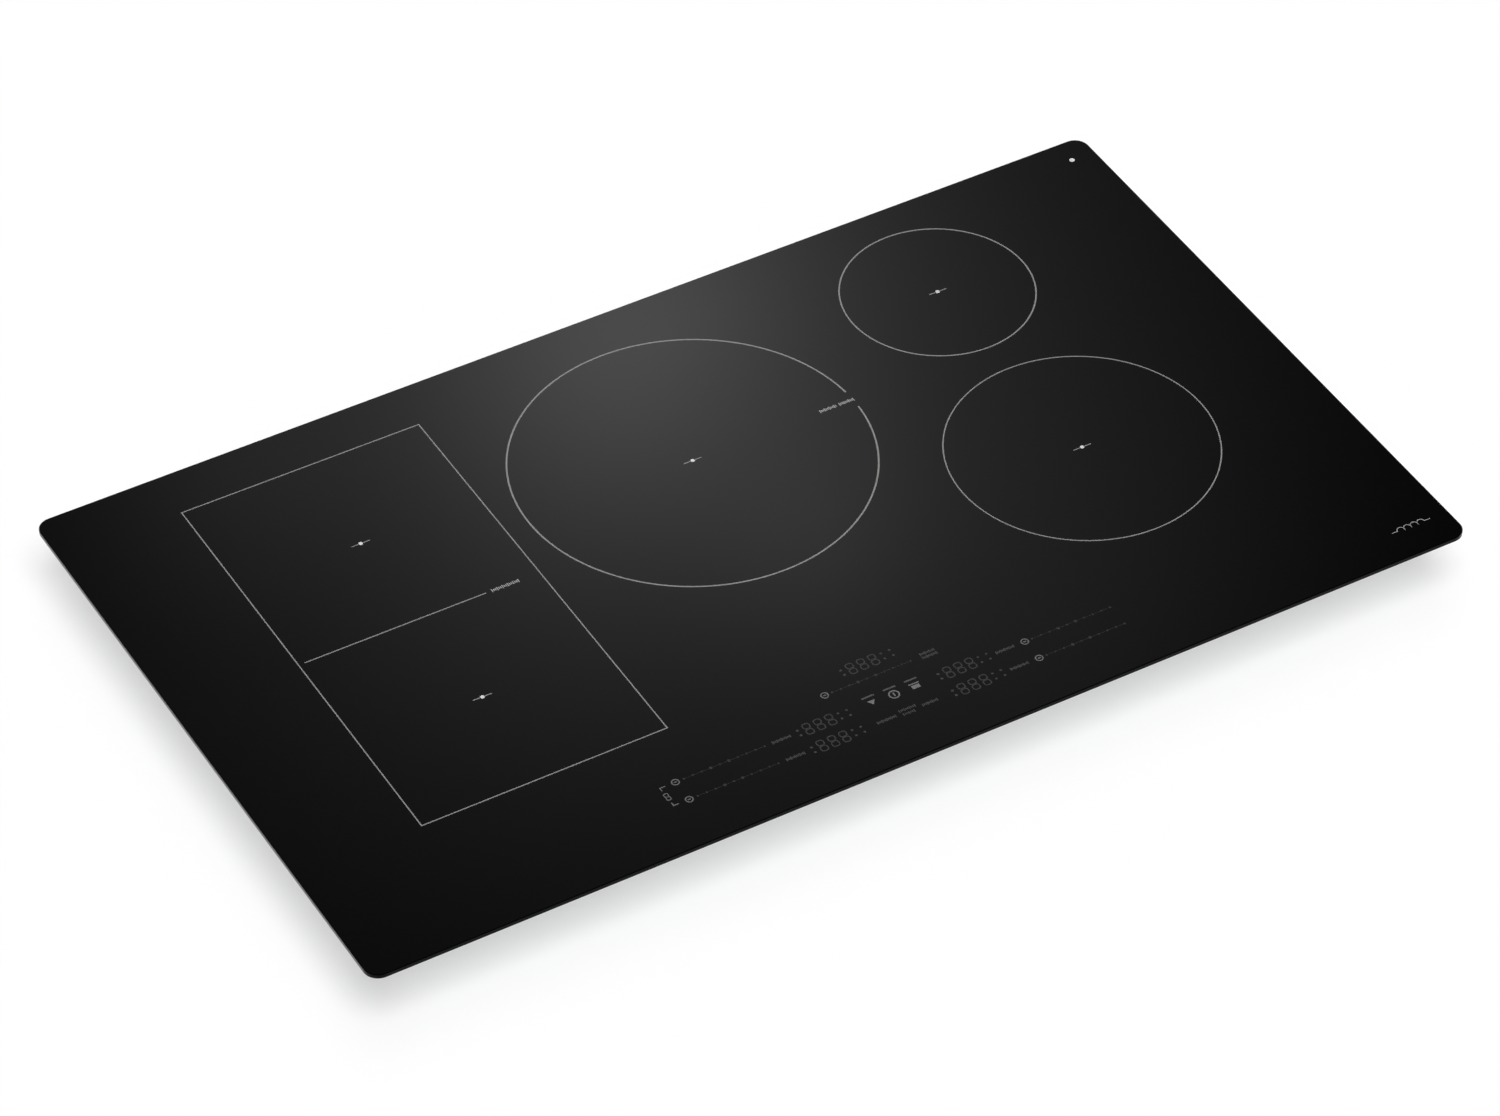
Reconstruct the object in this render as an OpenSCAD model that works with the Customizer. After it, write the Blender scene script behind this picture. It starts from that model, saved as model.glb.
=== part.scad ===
// Built-in induction cooktop with five cooking zones, as an assembly of separate pieces.
// Millimetres. The origin is under the middle of the glass, level with the lowest face of the pan.
// +X is the user's right, +Y the back of the worktop and +Z up.

/* [Glass] */
// Width of the glass top
glass_w = 921; // [900:1:980]
// Depth of the glass top
glass_d = 543; // [535:1:600]
// Thickness of the glass top
glass_t = 4; // [3:0.5:6]
// Corner radius of the glass top
glass_corner_r = 12; // [5:1:30]
// Ground bevel along the edges of the glass
glass_bevel = 0.5; // [0.3:0.1:1]
// Height from the lowest face of the pan to the top of the glass
body_h = 58; // [56:1:90]

/* [Rim] */
// Glass beyond the pan's wall at the left and right
overhang_x = 34; // [30:1:40]
// Glass beyond the pan's wall at the front and back
overhang_y = 33; // [30:1:36]
// Thickness of the foam seal under the edge of the glass
seal_t = 2.5; // [2:0.25:4]
// Width of the foam seal
seal_w = 10; // [6:1:11]
// Seal inset from the edge of the glass
seal_inset = 3; // [2:0.5:4]
// Clearance between the seal and the rails
rim_gap = 4; // [3:0.5:5]
// Thickness of the silicone bead that holds the glass
bond_t = 0.8; // [0.5:0.1:1.2]
// Width of the silicone bead
bond_w = 12; // [8:1:13]
// Sheet thickness of the rails under the glass
rail_t = 1.2; // [1:0.1:1.5]
// Depth of the rail leg inside the pan
rail_leg = 15; // [12:1:15]

/* [Pan] */
// Sheet thickness of the pan
pan_t = 1; // [0.8:0.1:1.2]
// Height of the pressed feet
foot_h = 3; // [2.5:0.5:6]
// Width of a pressed foot
foot_w = 60; // [40:5:70]
// Depth of a pressed foot, front to back
foot_d = 24; // [16:2:26]
// Horizontal run of the sloped lower edge
slope_run = 18; // [14:1:18]
// Height of the sloped lower edge
slope_rise = 17; // [12:1:17]
// Width of an air slot
slot_w = 4; // [3:0.5:5]
// Distance between air slots
slot_pitch = 8; // [7:0.5:10]
// Length of a front air outlet slot
outlet_l = 14; // [10:1:16]

/* [Cooking zones] */
// Glass behind the linked zone and the centre zone
zone_rear_margin = 44; // [38:1:50]
// Glass in front of the linked zone, with the touch controls
flex_front_margin = 115.5; // [110:0.5:130]
// Glass to the left of the linked zone
flex_side_margin = 101; // [90:1:110]
// Glass between the linked zone and the centre zone
flex_gap = 19.5; // [15:0.5:25]
// Radius of the centre zone
centre_zone_r = 140; // [130:1:141]
// Radius of the rear right zone
rear_zone_r = 76.5; // [70:0.5:80]
// Glass behind the rear right zone
rear_zone_margin = 31; // [30:1:40]
// Glass between the two right-hand zones
right_gap = 29; // [25:1:35]
// Glass in front of the front right zone
front_zone_margin = 120.5; // [115:0.5:130]
// Glass to the right of the front right zone
right_side_margin = 93.5; // [85:0.5:100]

/* [Coils] */
// Coil edge inside the printed edge of its zone
coil_inset = 10; // [8:0.5:14]
// Diameter of the braided coil wire
wire_d = 4.4; // [4:0.1:5]
// Radius of the open middle of a coil
coil_hole_r = 20; // [16:1:24]
// Gap between the two windings of the centre coil
coil_split = 10; // [6:1:16]
// Thickness of the plastic coil carriers
carrier_t = 3; // [2.5:0.5:4]
// Thickness of a ferrite bar
ferrite_t = 4.5; // [4:0.5:5]
// Width of a ferrite bar
ferrite_w = 14; // [10:1:15]
// Thickness of the mica sheets between coil and glass
mica_t = 0.8; // [0.5:0.1:1.2]
// Height of the bow springs under a carrier
spring_h = 10; // [9:0.5:11]
// Length of a bow spring
spring_l = 32; // [28:1:34]
// Strip thickness of a bow spring
spring_t = 0.6; // [0.5:0.1:0.8]
// Strip width of a bow spring
spring_w = 9; // [7:1:10]
// Radius of a pan sensor
sensor_r = 6; // [5:0.5:7]
// Thickness of the aluminium coil plate
plate_t = 1.5; // [1.2:0.1:2]

/* [Electronics] */
// Width of a power board
board_w = 226; // [210:1:228]
// Thickness of a circuit board
board_t = 1.6; // [1.2:0.2:2]
// Floor thickness of a board tray
tray_t = 2.5; // [2:0.5:3]
// Height of a board tray's rim
tray_h = 9; // [7:1:12]
// Room between a board tray and the pan's sloped edge, for the posts
tray_side_gap = 18.2; // [16:0.2:22]
// Clear height between a tray's floor and its board
board_lift = 2.5; // [2:0.5:4]
// Depth of the filter board
filter_d = 200; // [180:2:210]
// Width of a heat sink
sink_w = 56; // [48:1:58]
// Number of fins on a heat sink
sink_fins = 11; // [8:1:13]
// Width of a power transistor
device_w = 16; // [14:1:18]
// Length of a power transistor
device_l = 18; // [15:1:20]
// Distance between power transistors
device_pitch = 24; // [21:1:30]
// Width of a film capacitor
capacitor_w = 34; // [28:1:36]
// Length of a film capacitor
capacitor_l = 22; // [18:1:26]
// Distance between the film capacitors of a power board
capacitor_pitch = 40; // [30:1:50]
// Radius of a power board's choke
choke_r = 15; // [12:1:16]
// Radius of a filter choke
filter_choke_r = 21; // [18:1:22]

/* [Fans] */
// Outer radius of a fan housing
fan_case_r = 53; // [50:1:56]
// Clearance between a fan housing and the pan's sloped edge
fan_rear_gap = 2.5; // [2:0.5:5]
// Length of a fan's duct from its middle
fan_duct_l = 62; // [60:1:70]
// Clearance between a fan's duct and the board tray
duct_gap = 7.5; // [5:0.5:12]
// Radius of a fan rotor
rotor_r = 40; // [36:1:42]
// Wall thickness of a fan housing
fan_wall = 2; // [1.5:0.5:2.5]
// Blades on a rotor
fan_blades = 30; // [20:1:34]
// Radius of a fan's shaft
shaft_r = 1.5; // [1:0.25:2.5]
// Clearance between a shaft and its rotor
shaft_gap = 0.05; // [0.02:0.01:0.08]

/* [Touch controls] */
// Reach of the controls to the left of the middle
controls_left = 194; // [190:1:210]
// Reach of the controls to the right of the middle
controls_right = 185; // [180:1:205]
// Distance between rows of controls
row_pitch = 20; // [18:0.5:22]
// Wall thickness of the control holder
touch_wall = 2; // [1.5:0.5:2.5]
// Width of a three-digit display
display_w = 34; // [30:1:36]
// Depth of a display
display_d = 12; // [10:1:13]
// Height of the displays above their board
display_h = 2.4; // [2:0.1:3]
// Radius of a key's contact spring
key_r = 4; // [3:0.5:4.5]

/* [Retaining clips] */
// Distance of the clips from the middle, front and back
clip_y = 130; // [110:1:150]
// Width of a clip's spring leaf
leaf_w = 24; // [18:1:28]
// Strip thickness of a clip
clip_t = 0.8; // [0.6:0.1:1]
// Outward bulge of a relaxed clip
clip_bulge = 9.5; // [8:0.5:11]
// Height from a leaf's widest point to its free end
leaf_tip_h = 7; // [5:0.5:8]
// Clearance between a leaf's free end and the rail above it
leaf_top_gap = 5; // [4:0.5:7]
// Clearance around the rolled end of a leaf
roll_gap = 0.3; // [0.2:0.05:0.4]

/* [Terminal box] */
// Width of the terminal box
term_w = 110; // [100:2:120]
// Depth of the terminal box
term_d = 66; // [60:1:68]
// Height of the terminal box
term_h = 25; // [23:1:28]
// Wall thickness of the terminal box
term_wall = 2; // [1.5:0.5:2.5]
// Radius of the cable inlet
inlet_r = 7; // [6:0.5:7]
// Length of the cable inlet's collar
inlet_l = 8; // [6:1:10]
// Thickness of the terminal box's lid
lid_t = 1.6; // [1.4:0.1:1.8]
// Radius of the lid's hinge pin
lid_pin_r = 1.2; // [1:0.1:1.4]
// Distance between the poles of the terminal block
pole_pitch = 15; // [13:0.5:16]

/* [Hidden] */
$fn = 48;

// Small gap that keeps curved faces from touching, the allowance for cutting right through, and
// the two sides of the cooktop
lay_gap = 0.05;
cut = 1;
sides = [-1, 1];

// Plan of the pan: half its width and depth, outside, then inside its walls
pan_hw = glass_w / 2 - overhang_x;
pan_hd = glass_d / 2 - overhang_y;
room_hw = pan_hw - pan_t;
room_hd = pan_hd - pan_t;
floor_hw = pan_hw - slope_run;
floor_hd = pan_hd - slope_run;

// Heights of the glass, its bond, the rail flange and the pan's upper edge
glass_z = body_h - glass_t;
flange_z = glass_z - bond_t - rail_t;
wall_gap = 0.3;
wall_top_z = flange_z - wall_gap;
floor_z = foot_h + pan_t;

// Heights of the coil stack, from the glass down
mica_z = glass_z - mica_t;
winding_z = mica_z - lay_gap - wire_d;
carrier_z = winding_z - carrier_t;
ferrite_z = carrier_z - ferrite_t;
plate_top_z = carrier_z - spring_h;
plate_z = plate_top_z - plate_t;

// Zones: the linked one fills the glass between its margins, and so does the front right one
zone_rear_y = glass_d / 2 - zone_rear_margin;
flex_d = glass_d - zone_rear_margin - flex_front_margin;
flex_w = glass_w / 2 - flex_side_margin - flex_gap - centre_zone_r;
flex_x = centre_zone_r + flex_gap + flex_w / 2;
flex_y = zone_rear_y - flex_d / 2;
centre_zone_y = zone_rear_y - centre_zone_r;
rear_zone_y = glass_d / 2 - rear_zone_margin - rear_zone_r;
front_zone_r = (glass_d - rear_zone_margin - right_gap - front_zone_margin) / 2 - rear_zone_r;
front_zone_y = front_zone_margin + front_zone_r - glass_d / 2;
right_zone_x = glass_w / 2 - right_side_margin - front_zone_r;

// Coil sizes, inside the printed zones
centre_coil_r = centre_zone_r - coil_inset;
rear_coil_r = rear_zone_r - coil_inset;
front_coil_r = front_zone_r - coil_inset;
flex_coil_w = flex_w - 2 * coil_inset;
flex_coil_d = flex_d / 2 - 2 * coil_inset;
flex_coil_corner = 45;
flex_hole_corner = 12;
flex_turn_gap = 0.5;
flex_rear_y = flex_y + flex_d / 4;
flex_front_y = flex_y - flex_d / 4;
inner_winding_r = (centre_coil_r + coil_hole_r) / 2;
winding_web = 0.8;

// Carriers: rim, sensor hub, ferrite pockets and windows
carrier_rim = 2;
sensor_gap = 0.2;
ferrite_lip = 1.2;
ferrite_gap = 0.15;
ferrite_space = 2;
pocket_root = 0.5;
vent_w = 8;
vent_gap = 1;
vent_rim = 14;
vent_inset = 15;

// Pan sensors: length below the carrier, and the flange that rests on it
sensor_foot = 2;
sensor_flange = 2;
sensor_flange_t = 1.2;
mica_hole_gap = 1;

// Round zones: x, y, coil radius, number of ferrite bars and the angles of the bow springs
centre_zone = [0, centre_zone_y, centre_coil_r, 12, [90, 210, 330]];
rear_zone = [right_zone_x, rear_zone_y, rear_coil_r, 8, [90, 225, 315]];
front_zone = [right_zone_x, front_zone_y, front_coil_r, 8, [90, 225, 315]];
round_zones = [centre_zone, rear_zone, front_zone];
flex_ys = [flex_front_y, flex_rear_y];
zone_centres = concat([for (z = round_zones) [z[0], z[1]]], [for (y = flex_ys) [-flex_x, y]]);

// Ferrite bars of the linked zone: two columns of three
flex_bar_l = flex_coil_w / 2 - coil_hole_r - 4;
flex_bar_y = (flex_coil_d - ferrite_w) / 3.5;
flex_bars = [
    for (x = sides, y = [-1, 0, 1])
        [x * (coil_hole_r + flex_bar_l / 2), y * flex_bar_y]
];

// Windows in the coil plate for the leads, and the bow springs beside them
window_l = 46;
window_w = 23;
window_corner = 5;
window_inset = 6;
spring_inset = 9;
spring_foot = 4;
flex_spring_x = window_l / 2 + spring_l / 2 + 2;
flex_spring_y = flex_bar_y + ferrite_w / 2 + ferrite_lip + spring_w / 2 + 5;

// Screws: shank and head, cross recess, and hole radius in sheet and in bores
screw_r = 1.5;
screw_head_r = 3;
screw_head_h = 1.8;
cross_l = 3.6;
cross_w = 0.8;
cross_depth = 0.9;
screw_hole_r = 1.8;
screw_bore_r = 1.55;

// Rails: the leg stands inside the pan's wall, and the flange reaches out to the seal
rail_gap = 0.1;
rail_reach = overhang_y - seal_inset - seal_w - rim_gap;
bond_inset = 1;
leg_hw = room_hw - rail_gap;
leg_hd = room_hd - rail_gap;
rail_corner = 2;
leg_z = flange_z + rail_t - rail_leg;
rail_screw_z = leg_z + rail_leg / 2;
rail_screw_l = 5;
end_screw_inset = 46;
side_screw_inset = 37;
front_screw_pitch = 490;
rear_screw_pitch = 300;
rail_seam = 0.05;
front_screw_x = [for (x = [pan_hw - end_screw_inset, front_screw_pitch / 2], s = [1, -1]) s * x];
rear_screw_x = [for (x = [pan_hw - end_screw_inset, rear_screw_pitch / 2], s = [1, -1]) s * x];
side_screw_y = [side_screw_inset - leg_hd, 0, leg_hd - side_screw_inset];

// Feet, and the air outlet slots in line with them
foot_inset = [20, 10];
foot_corner = 8;
foot_x = floor_hw - foot_w / 2 - foot_inset[0];
foot_y = floor_hd - foot_d / 2 - foot_inset[1];
outlet_foot_gap = 10;
outlet_group = 60;
outlet_x0 = foot_x - foot_w / 2 - outlet_foot_gap - 2 * slot_pitch - slot_w / 2;

// Clips: bend axis beside the wall, leaf and the window that the leaf's tip swings into
roll_r = 1.1;
bend_r = roll_r + roll_gap + clip_t;
hook_gap = 0.3;
bend_x = pan_hw + bend_r;
bend_z = foot_h + slope_rise + bend_r + hook_gap;
leaf_h = flange_z - leaf_top_gap - leaf_tip_h - bend_z;
tip_in = 3;
clip_ear = 11;
clip_mount_w = leaf_w + 2 * clip_ear;
clip_mount_h = leaf_h - 3;
clip_screw_y = (leaf_w + clip_ear) / 2;
clip_screw_z = bend_z + clip_mount_h / 2 + 0.75;
clip_screw_l = 5;
clip_window_w = leaf_w + 6;
clip_window_z = bend_z + leaf_h - 0.5;
clip_window_top = wall_top_z - 2.5;

// Holes for add-on hold-down brackets in the side walls
bracket_hole_r = 2.1;
bracket_hole_y = clip_y - clip_mount_w / 2 - 17;
bracket_hole_z = bend_z + 6;

// Fans: plan and heights
fan_y = floor_hd - fan_rear_gap - fan_case_r;
fan_top_gap = 4;
fan_top_z = plate_z - fan_top_gap;
fan_floor_z = floor_z + fan_wall;
fan_roof_z = fan_top_z - fan_wall;
fan_inlet_r = rotor_r - 6;
fan_tongue = 4;
volute_shift = 3;
rotor_lift = 1.5;
rotor_z = fan_floor_z + rotor_lift;
motor_flange_h = 2.5;
rotor_top_z = fan_roof_z - motor_flange_h - 1;
rotor_plate_t = 1.5;
rotor_ring_w = 3;
rotor_hub_t = 2.5;
shaft_end_gap = 0.5;
can_gap = 4;
hub_r = 15;
hub_wall = 1.6;
hub_gap = 0.8;
blade_l = 12;
blade_t = 1.1;
blade_sink = 0.3;
blade_edge = 1.2;
blade_angle = 40;

// Board trays: between the fans' ducts and the front air outlets
tray_rim = 2;
tray_gap = 0.3;
outlet_gap = 6;
tray_edge = tray_rim + tray_gap;
tray_front_y = outlet_l / 2 + outlet_gap - foot_y;
tray_rear_y = fan_y - fan_duct_l - duct_gap;
board_d = tray_rear_y - tray_front_y - 2 * tray_edge;
board_y = (tray_rear_y + tray_front_y) / 2;
bay_x = floor_hw - tray_side_gap - tray_edge - board_w / 2;

// Boards: heights and fixing points
board_z = floor_z + tray_t + board_lift;
board_top_z = board_z + board_t;
peg_r = 3.2;
peg_inset = 8;
part_room = plate_z - board_top_z - 2;

// Touch controls: holder on the coil plate, against the front rail, with rows from its front
touch_gap = 0.8;
touch_margin = 4;
touch_side = 11;
touch_floor_t = 2;
touch_front_y = rail_t + touch_gap - leg_hd;
row_y = touch_front_y + touch_wall + display_d / 2 + 0.4;
digit_row_y = row_y + 3 * row_pitch - 1.5;
touch_rear_y = digit_row_y + display_d / 2 + touch_margin;
touch_w = controls_left + controls_right + 2 * touch_side;
touch_d = touch_rear_y - touch_front_y;
touch_x = (controls_right - controls_left) / 2;
touch_y = (touch_front_y + touch_rear_y) / 2;
touch_board_z = glass_z - board_t - display_h - 0.4;
touch_board_top = touch_board_z + board_t;
touch_board_gap = 0.4;
touch_peg_r = 3;
touch_peg_inset = 4;
touch_peg_pitch = (touch_w - 24) / 4;
key_wall = 0.8;
display_at = [
    [-62.5, row_y + row_pitch], [-62.5, row_y], [56, row_y + row_pitch], [56, row_y],
    [-3.5, digit_row_y]
];
zone_key_x = 12 - controls_left;
key_at = [
    [-controls_left, row_y + row_pitch / 2], [zone_key_x, row_y + row_pitch], [zone_key_x, row_y],
    [111.5, row_y + row_pitch], [111.5, row_y], [-44, digit_row_y - 14.5],
    [-18, row_y + row_pitch], [0, row_y + row_pitch], [18, row_y + row_pitch],
    [-18, row_y + 3], [0, row_y + 3], [18, row_y + 3]
];

// Pegs that carry the touch board, along the front and back of the holder
touch_pegs = [
    for (i = [-2:2], s = sides)
        [touch_x + i * touch_peg_pitch, touch_y + s * (touch_d / 2 - touch_wall - touch_peg_inset)]
];

// Standoffs and their screws: along the sides, and clear of the trays and the touch controls
post_r = 4;
post_bore_l = 12;
post_inset = [8.5, 15.5];
mid_post_y = 20;
inner_post_gap = 19.5;
inner_post_x = bay_x - board_w / 2 - tray_edge - inner_post_gap;
inner_post_y = touch_rear_y + screw_head_r + 7;
post_at = concat(
    [
        for (x = sides, y = [post_inset[1] - floor_hd, mid_post_y, floor_hd - post_inset[1]])
            [x * (floor_hw - post_inset[0]), y]
    ],
    [
        for (x = sides, y = [inner_post_y, mid_post_y, floor_hd - post_inset[1]])
            [x * inner_post_x, y]
    ]
);
plate_inset = 1;
plate_screw_l = 8;

// Filter board, between the inner posts
filter_post_gap = 30;
filter_w = 2 * (inner_post_x - filter_post_gap);
filter_y = board_y + 5;

// Parts of the power boards: heat sink, transistors, capacitors and chokes
sink_base_t = 3;
sink_foot = 7;
sink_x = 27;
sink_end_gap = 20;
sink_l = board_d - 2 * sink_end_gap;
device_h = 4.5;
device_x = 13;
device_n = floor((sink_l / 2 - sink_foot - device_l / 2) / device_pitch);
sink_h = part_room - device_h;
fin_t = 1.5;
capacitor_h = part_room - 2;
capacitor_x = 38;
capacitor_front = 39;
capacitor_rear = 55;
capacitor_row = board_d - capacitor_front - capacitor_rear;
capacitor_n = 1 + floor((capacitor_row - capacitor_l) / capacitor_pitch);
capacitor_y = board_y + (capacitor_front - capacitor_rear) / 2;
choke_x = 82;
choke_wire_r = 6;
choke_inset = 38;
choke_y = board_y + board_d / 2 - choke_inset;
choke_pitch = 40;

// Parts of the filter board, placed from its middle and its front edge
filter_part_pitch = 46;
filter_capacitor_l = 20;
filter_capacitor_inset = 28;
filter_choke_wire_r = 8;
filter_choke_drop = 22;

// Where the two leads of each coil pass the plate, with the place of their terminals
lead_split = 9;
lead_r = 1.6;
lead_drop = 18;
lead_rise = 10;
terminal_w = 9;
terminal_h = 5;
wire_sides = 8;
wire_rings = 9;
lead_from = [
    [centre_zone[0], centre_zone[1] - centre_coil_r + window_inset],
    [rear_zone[0], rear_zone[1] - rear_coil_r + window_inset],
    [front_zone[0] - front_coil_r + window_inset, front_zone[1]],
    [-flex_x, flex_front_y - flex_coil_d / 2 + window_inset],
    [-flex_x, flex_rear_y - flex_coil_d / 2 + window_inset]
];
lead_edge = 14;
lead_aside = 20;
choke_lead_gap = 24;
flex_lead_x = [30, 25];
flex_lead_inset = [20, 31];
lead_to = [
    [0, filter_y + lead_aside],
    [bay_x - lead_aside, board_y + board_d / 2 - lead_edge],
    [bay_x - board_w / 2 + lead_edge, choke_y - choke_pitch - choke_r - choke_lead_gap],
    [flex_lead_x[0] - bay_x, board_y - board_d / 2 + flex_lead_inset[0]],
    [flex_lead_x[1] - bay_x, board_y + board_d / 2 - flex_lead_inset[1]]
];

// Terminal box: plan, cavity, inlet, lid hinge and latch
term_rear_gap = 4.5;
term_rear_y = floor_hd - term_rear_gap;
term_y = term_rear_y - term_d / 2;
cave_w = term_w - 2 * term_wall;
cave_d = term_d - 2 * term_wall;
cave_front_y = term_y - cave_d / 2;
cave_rear_y = term_y + cave_d / 2;
inlet_z = floor_z + inlet_r + 1.6;
inlet_wall = 1.4;
notch_side = 5;
notch_top = 3;
panel_w = 260;
panel_lap = 4;
panel_seam = 0.05;
lid_z = foot_h - 0.2 - lid_t;
lid_lap = 3;
lid_notch = [12, 3];
latch_w = 10;
latch_t = 1.4;
latch_h = 3;
latch_gap = 0.4;
knuckle_r = lid_pin_r + 1;
knuckle_gap = 1;
hinge_y = cave_front_y + knuckle_r + 0.8;
hinge_z = lid_z + knuckle_r;
pin_gap = 0.05;
ear_t = 3;
lid_side_gap = 0.3;

// Terminal block, its screws and the leads to the filter board
poles = 5;
pole_w = 11;
pole_depth = 3;
pole_rim = 3;
block_w = poles * pole_pitch + 5;
block_d = 22;
block_h = 10;
block_y = term_y - 4;
block_z = floor_z + term_h - term_wall - block_h;
pole_screw_r = 2.8;
pole_screw_h = 2;
pole_screw_y = 4.2;
supply_r = 1.3;
supply_lead_drop = 7;
supply_lead_reach = 60;
supply_lead_rise = 14;
supply_lead_inset = 8;
lead_slot_drop = 10;
lead_slot_h = 6;

/* Shared shapes */

// Rectangle with rounded corners about the origin
module rounded_rect(w, d, r) {
    square([w, d - 2 * r], center = true);
    square([w - 2 * r, d], center = true);
    for (x = sides, y = sides)
        translate([x * (w / 2 - r), y * (d / 2 - r)])
            circle(r);
}

// Ring between two rounded rectangles, t wide
module rounded_ring(w, d, r, t) {
    difference() {
        rounded_rect(w, d, r);
        rounded_rect(w - 2 * t, d - 2 * t, r - t);
    }
}

// Cross-section swept along X: its first axis becomes Y and its second Z
module along_x(l) {
    rotate([90, 0, 90])
        linear_extrude(l, center = true)
            children();
}

// Cross-section swept along Y: its first axis becomes X and its second Z
module along_y(l) {
    rotate([90, 0, 0])
        linear_extrude(l, center = true)
            children();
}

// Block with its middle at x, y and its underside at z
module block(x, y, z, size) {
    translate([x - size[0] / 2, y - size[1] / 2, z])
        cube(size);
}

// The right-hand bay as drawn, or its mirror image at the left
module bay(side) {
    if (side < 0)
        mirror([1, 0, 0])
            children();
    else
        children();
}

// Copies of a shape at the places in a list
module at_each(places) {
    for (p = places)
        translate(p)
            children();
}

// Screw pointing along -Z with the underside of its head at z = 0
module screw(l, r = screw_r) {
    translate([0, 0, -l])
        cylinder(r = r, h = l);
    difference() {
        cylinder(r = screw_head_r, h = screw_head_h);
        for (a = [0, 90])
            rotate(a)
                block(0, 0, screw_head_h - cross_depth, [cross_l, cross_w, cut + cross_depth]);
    }
}

// Turns a shape that points along +Z so that it points out of the pan at one of its four sides
module facing(side) {
    rotate([0, 0, side])
        rotate([90, 0, 0])
            children();
}

/* Glass and rim */

// Long slab seen from its end, bevelled at all four edges
module slab_profile(hw) {
    b = glass_bevel;
    polygon([
        [-hw + b, 0], [hw - b, 0], [hw, b], [hw, glass_t - b],
        [hw - b, glass_t], [-hw + b, glass_t], [-hw, glass_t - b], [-hw, b]
    ]);
}

module glass_top() {
    r = glass_corner_r;
    b = glass_bevel;
    color("#0b0b0c")
        translate([0, 0, glass_z]) {
            along_y(glass_d - 2 * r)
                slab_profile(glass_w / 2);
            along_x(glass_w - 2 * r)
                slab_profile(glass_d / 2);
            for (x = sides, y = sides)
                translate([x * (glass_w / 2 - r), y * (glass_d / 2 - r), 0])
                    rotate_extrude()
                        polygon([
                            [0, 0], [r - b, 0], [r, b],
                            [r, glass_t - b], [r - b, glass_t], [0, glass_t]
                        ]);
        }
}

module glass_bond() {
    w = 2 * (pan_hw + rail_reach - bond_inset);
    d = 2 * (pan_hd + rail_reach - bond_inset);
    color("#8b8b86")
        translate([0, 0, glass_z - bond_t])
            linear_extrude(bond_t)
                difference() {
                    square([w, d], center = true);
                    square([w - 2 * bond_w, d - 2 * bond_w], center = true);
                }
}

module rim_seal() {
    color("#26272a")
        translate([0, 0, glass_z - seal_t])
            linear_extrude(seal_t)
                difference() {
                    rounded_rect(glass_w - 2 * seal_inset, glass_d - 2 * seal_inset, glass_corner_r);
                    square([
                        glass_w - 2 * (seal_inset + seal_w),
                        glass_d - 2 * (seal_inset + seal_w)
                    ], center = true);
                }
}

// Rail in cross-section: flange outwards over the pan's wall, leg down inside it
module rail_profile(leg, edge) {
    translate([leg - rail_t, flange_z])
        square([edge + rail_reach - leg + rail_t, rail_t]);
    translate([leg - rail_t, leg_z])
        square([rail_t, flange_z - leg_z - rail_seam]);
}

// Front rail: a flat strip with a leg strip spot-welded under it, bored for its screws at xs
module long_rail(xs) {
    l = 2 * (leg_hw - rail_t - rail_corner);
    color("#b9bcbf")
        difference() {
            rotate(180)
                along_x(l)
                    rail_profile(leg_hd, pan_hd);
            for (x = xs)
                translate([x, -leg_hd, rail_screw_z])
                    rotate([90, 0, 0])
                        cylinder(r = screw_bore_r, h = 4 * rail_t, center = true);
        }
}

module rail_front() {
    long_rail(front_screw_x);
}

module rail_rear() {
    rotate(180)
        long_rail(rear_screw_x);
}

module side_rail(side) {
    leg_l = 2 * (leg_hd - rail_t);
    flange_l = 2 * (pan_hd + rail_reach);
    color("#b9bcbf")
        bay(side)
            difference() {
                union() {
                    along_y(flange_l)
                        translate([leg_hw - rail_t, flange_z])
                            square([pan_hw + rail_reach - leg_hw + rail_t, rail_t]);
                    along_y(leg_l)
                        translate([leg_hw - rail_t, leg_z])
                            square([rail_t, rail_leg]);
                }
                for (y = sides)
                    block(leg_hw, y * clip_y, leg_z - cut,
                        [4 * rail_t, clip_window_w, flange_z - leg_z + cut]);
                for (y = side_screw_y)
                    translate([leg_hw, y, rail_screw_z])
                        rotate([0, 90, 0])
                            cylinder(r = screw_bore_r, h = 4 * rail_t, center = true);
            }
}

module rail_left() {
    side_rail(-1);
}

module rail_right() {
    side_rail(1);
}

module rail_screws() {
    color("#c9cbcd") {
        for (x = front_screw_x)
            translate([x, -pan_hd, rail_screw_z])
                facing(0)
                    screw(rail_screw_l);
        for (x = rear_screw_x)
            translate([x, pan_hd, rail_screw_z])
                facing(180)
                    screw(rail_screw_l);
        for (y = side_screw_y, s = sides)
            translate([s * pan_hw, y, rail_screw_z])
                facing(s * 90)
                    screw(rail_screw_l);
    }
}

/* Pan and retaining clips */

// Cross-section of the pan: upright walls with a sloped lower edge
function pan_profile(half, z, run, rise, top) = [
    [-half + run, z], [half - run, z], [half, z + rise],
    [half, top], [-half, top], [-half, z + rise]
];

module pan_block(hw, hd, z, run, rise, top) {
    intersection() {
        along_y(2 * hd + cut)
            polygon(pan_profile(hw, z, run, rise, top));
        along_x(2 * hw + cut)
            polygon(pan_profile(hd, z, run, rise, top));
    }
}

// Rounded slot along Y, l long
module air_slot(l) {
    square([slot_w, l - slot_w], center = true);
    for (y = sides)
        translate([0, y * (l - slot_w) / 2])
            circle(d = slot_w);
}

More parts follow.
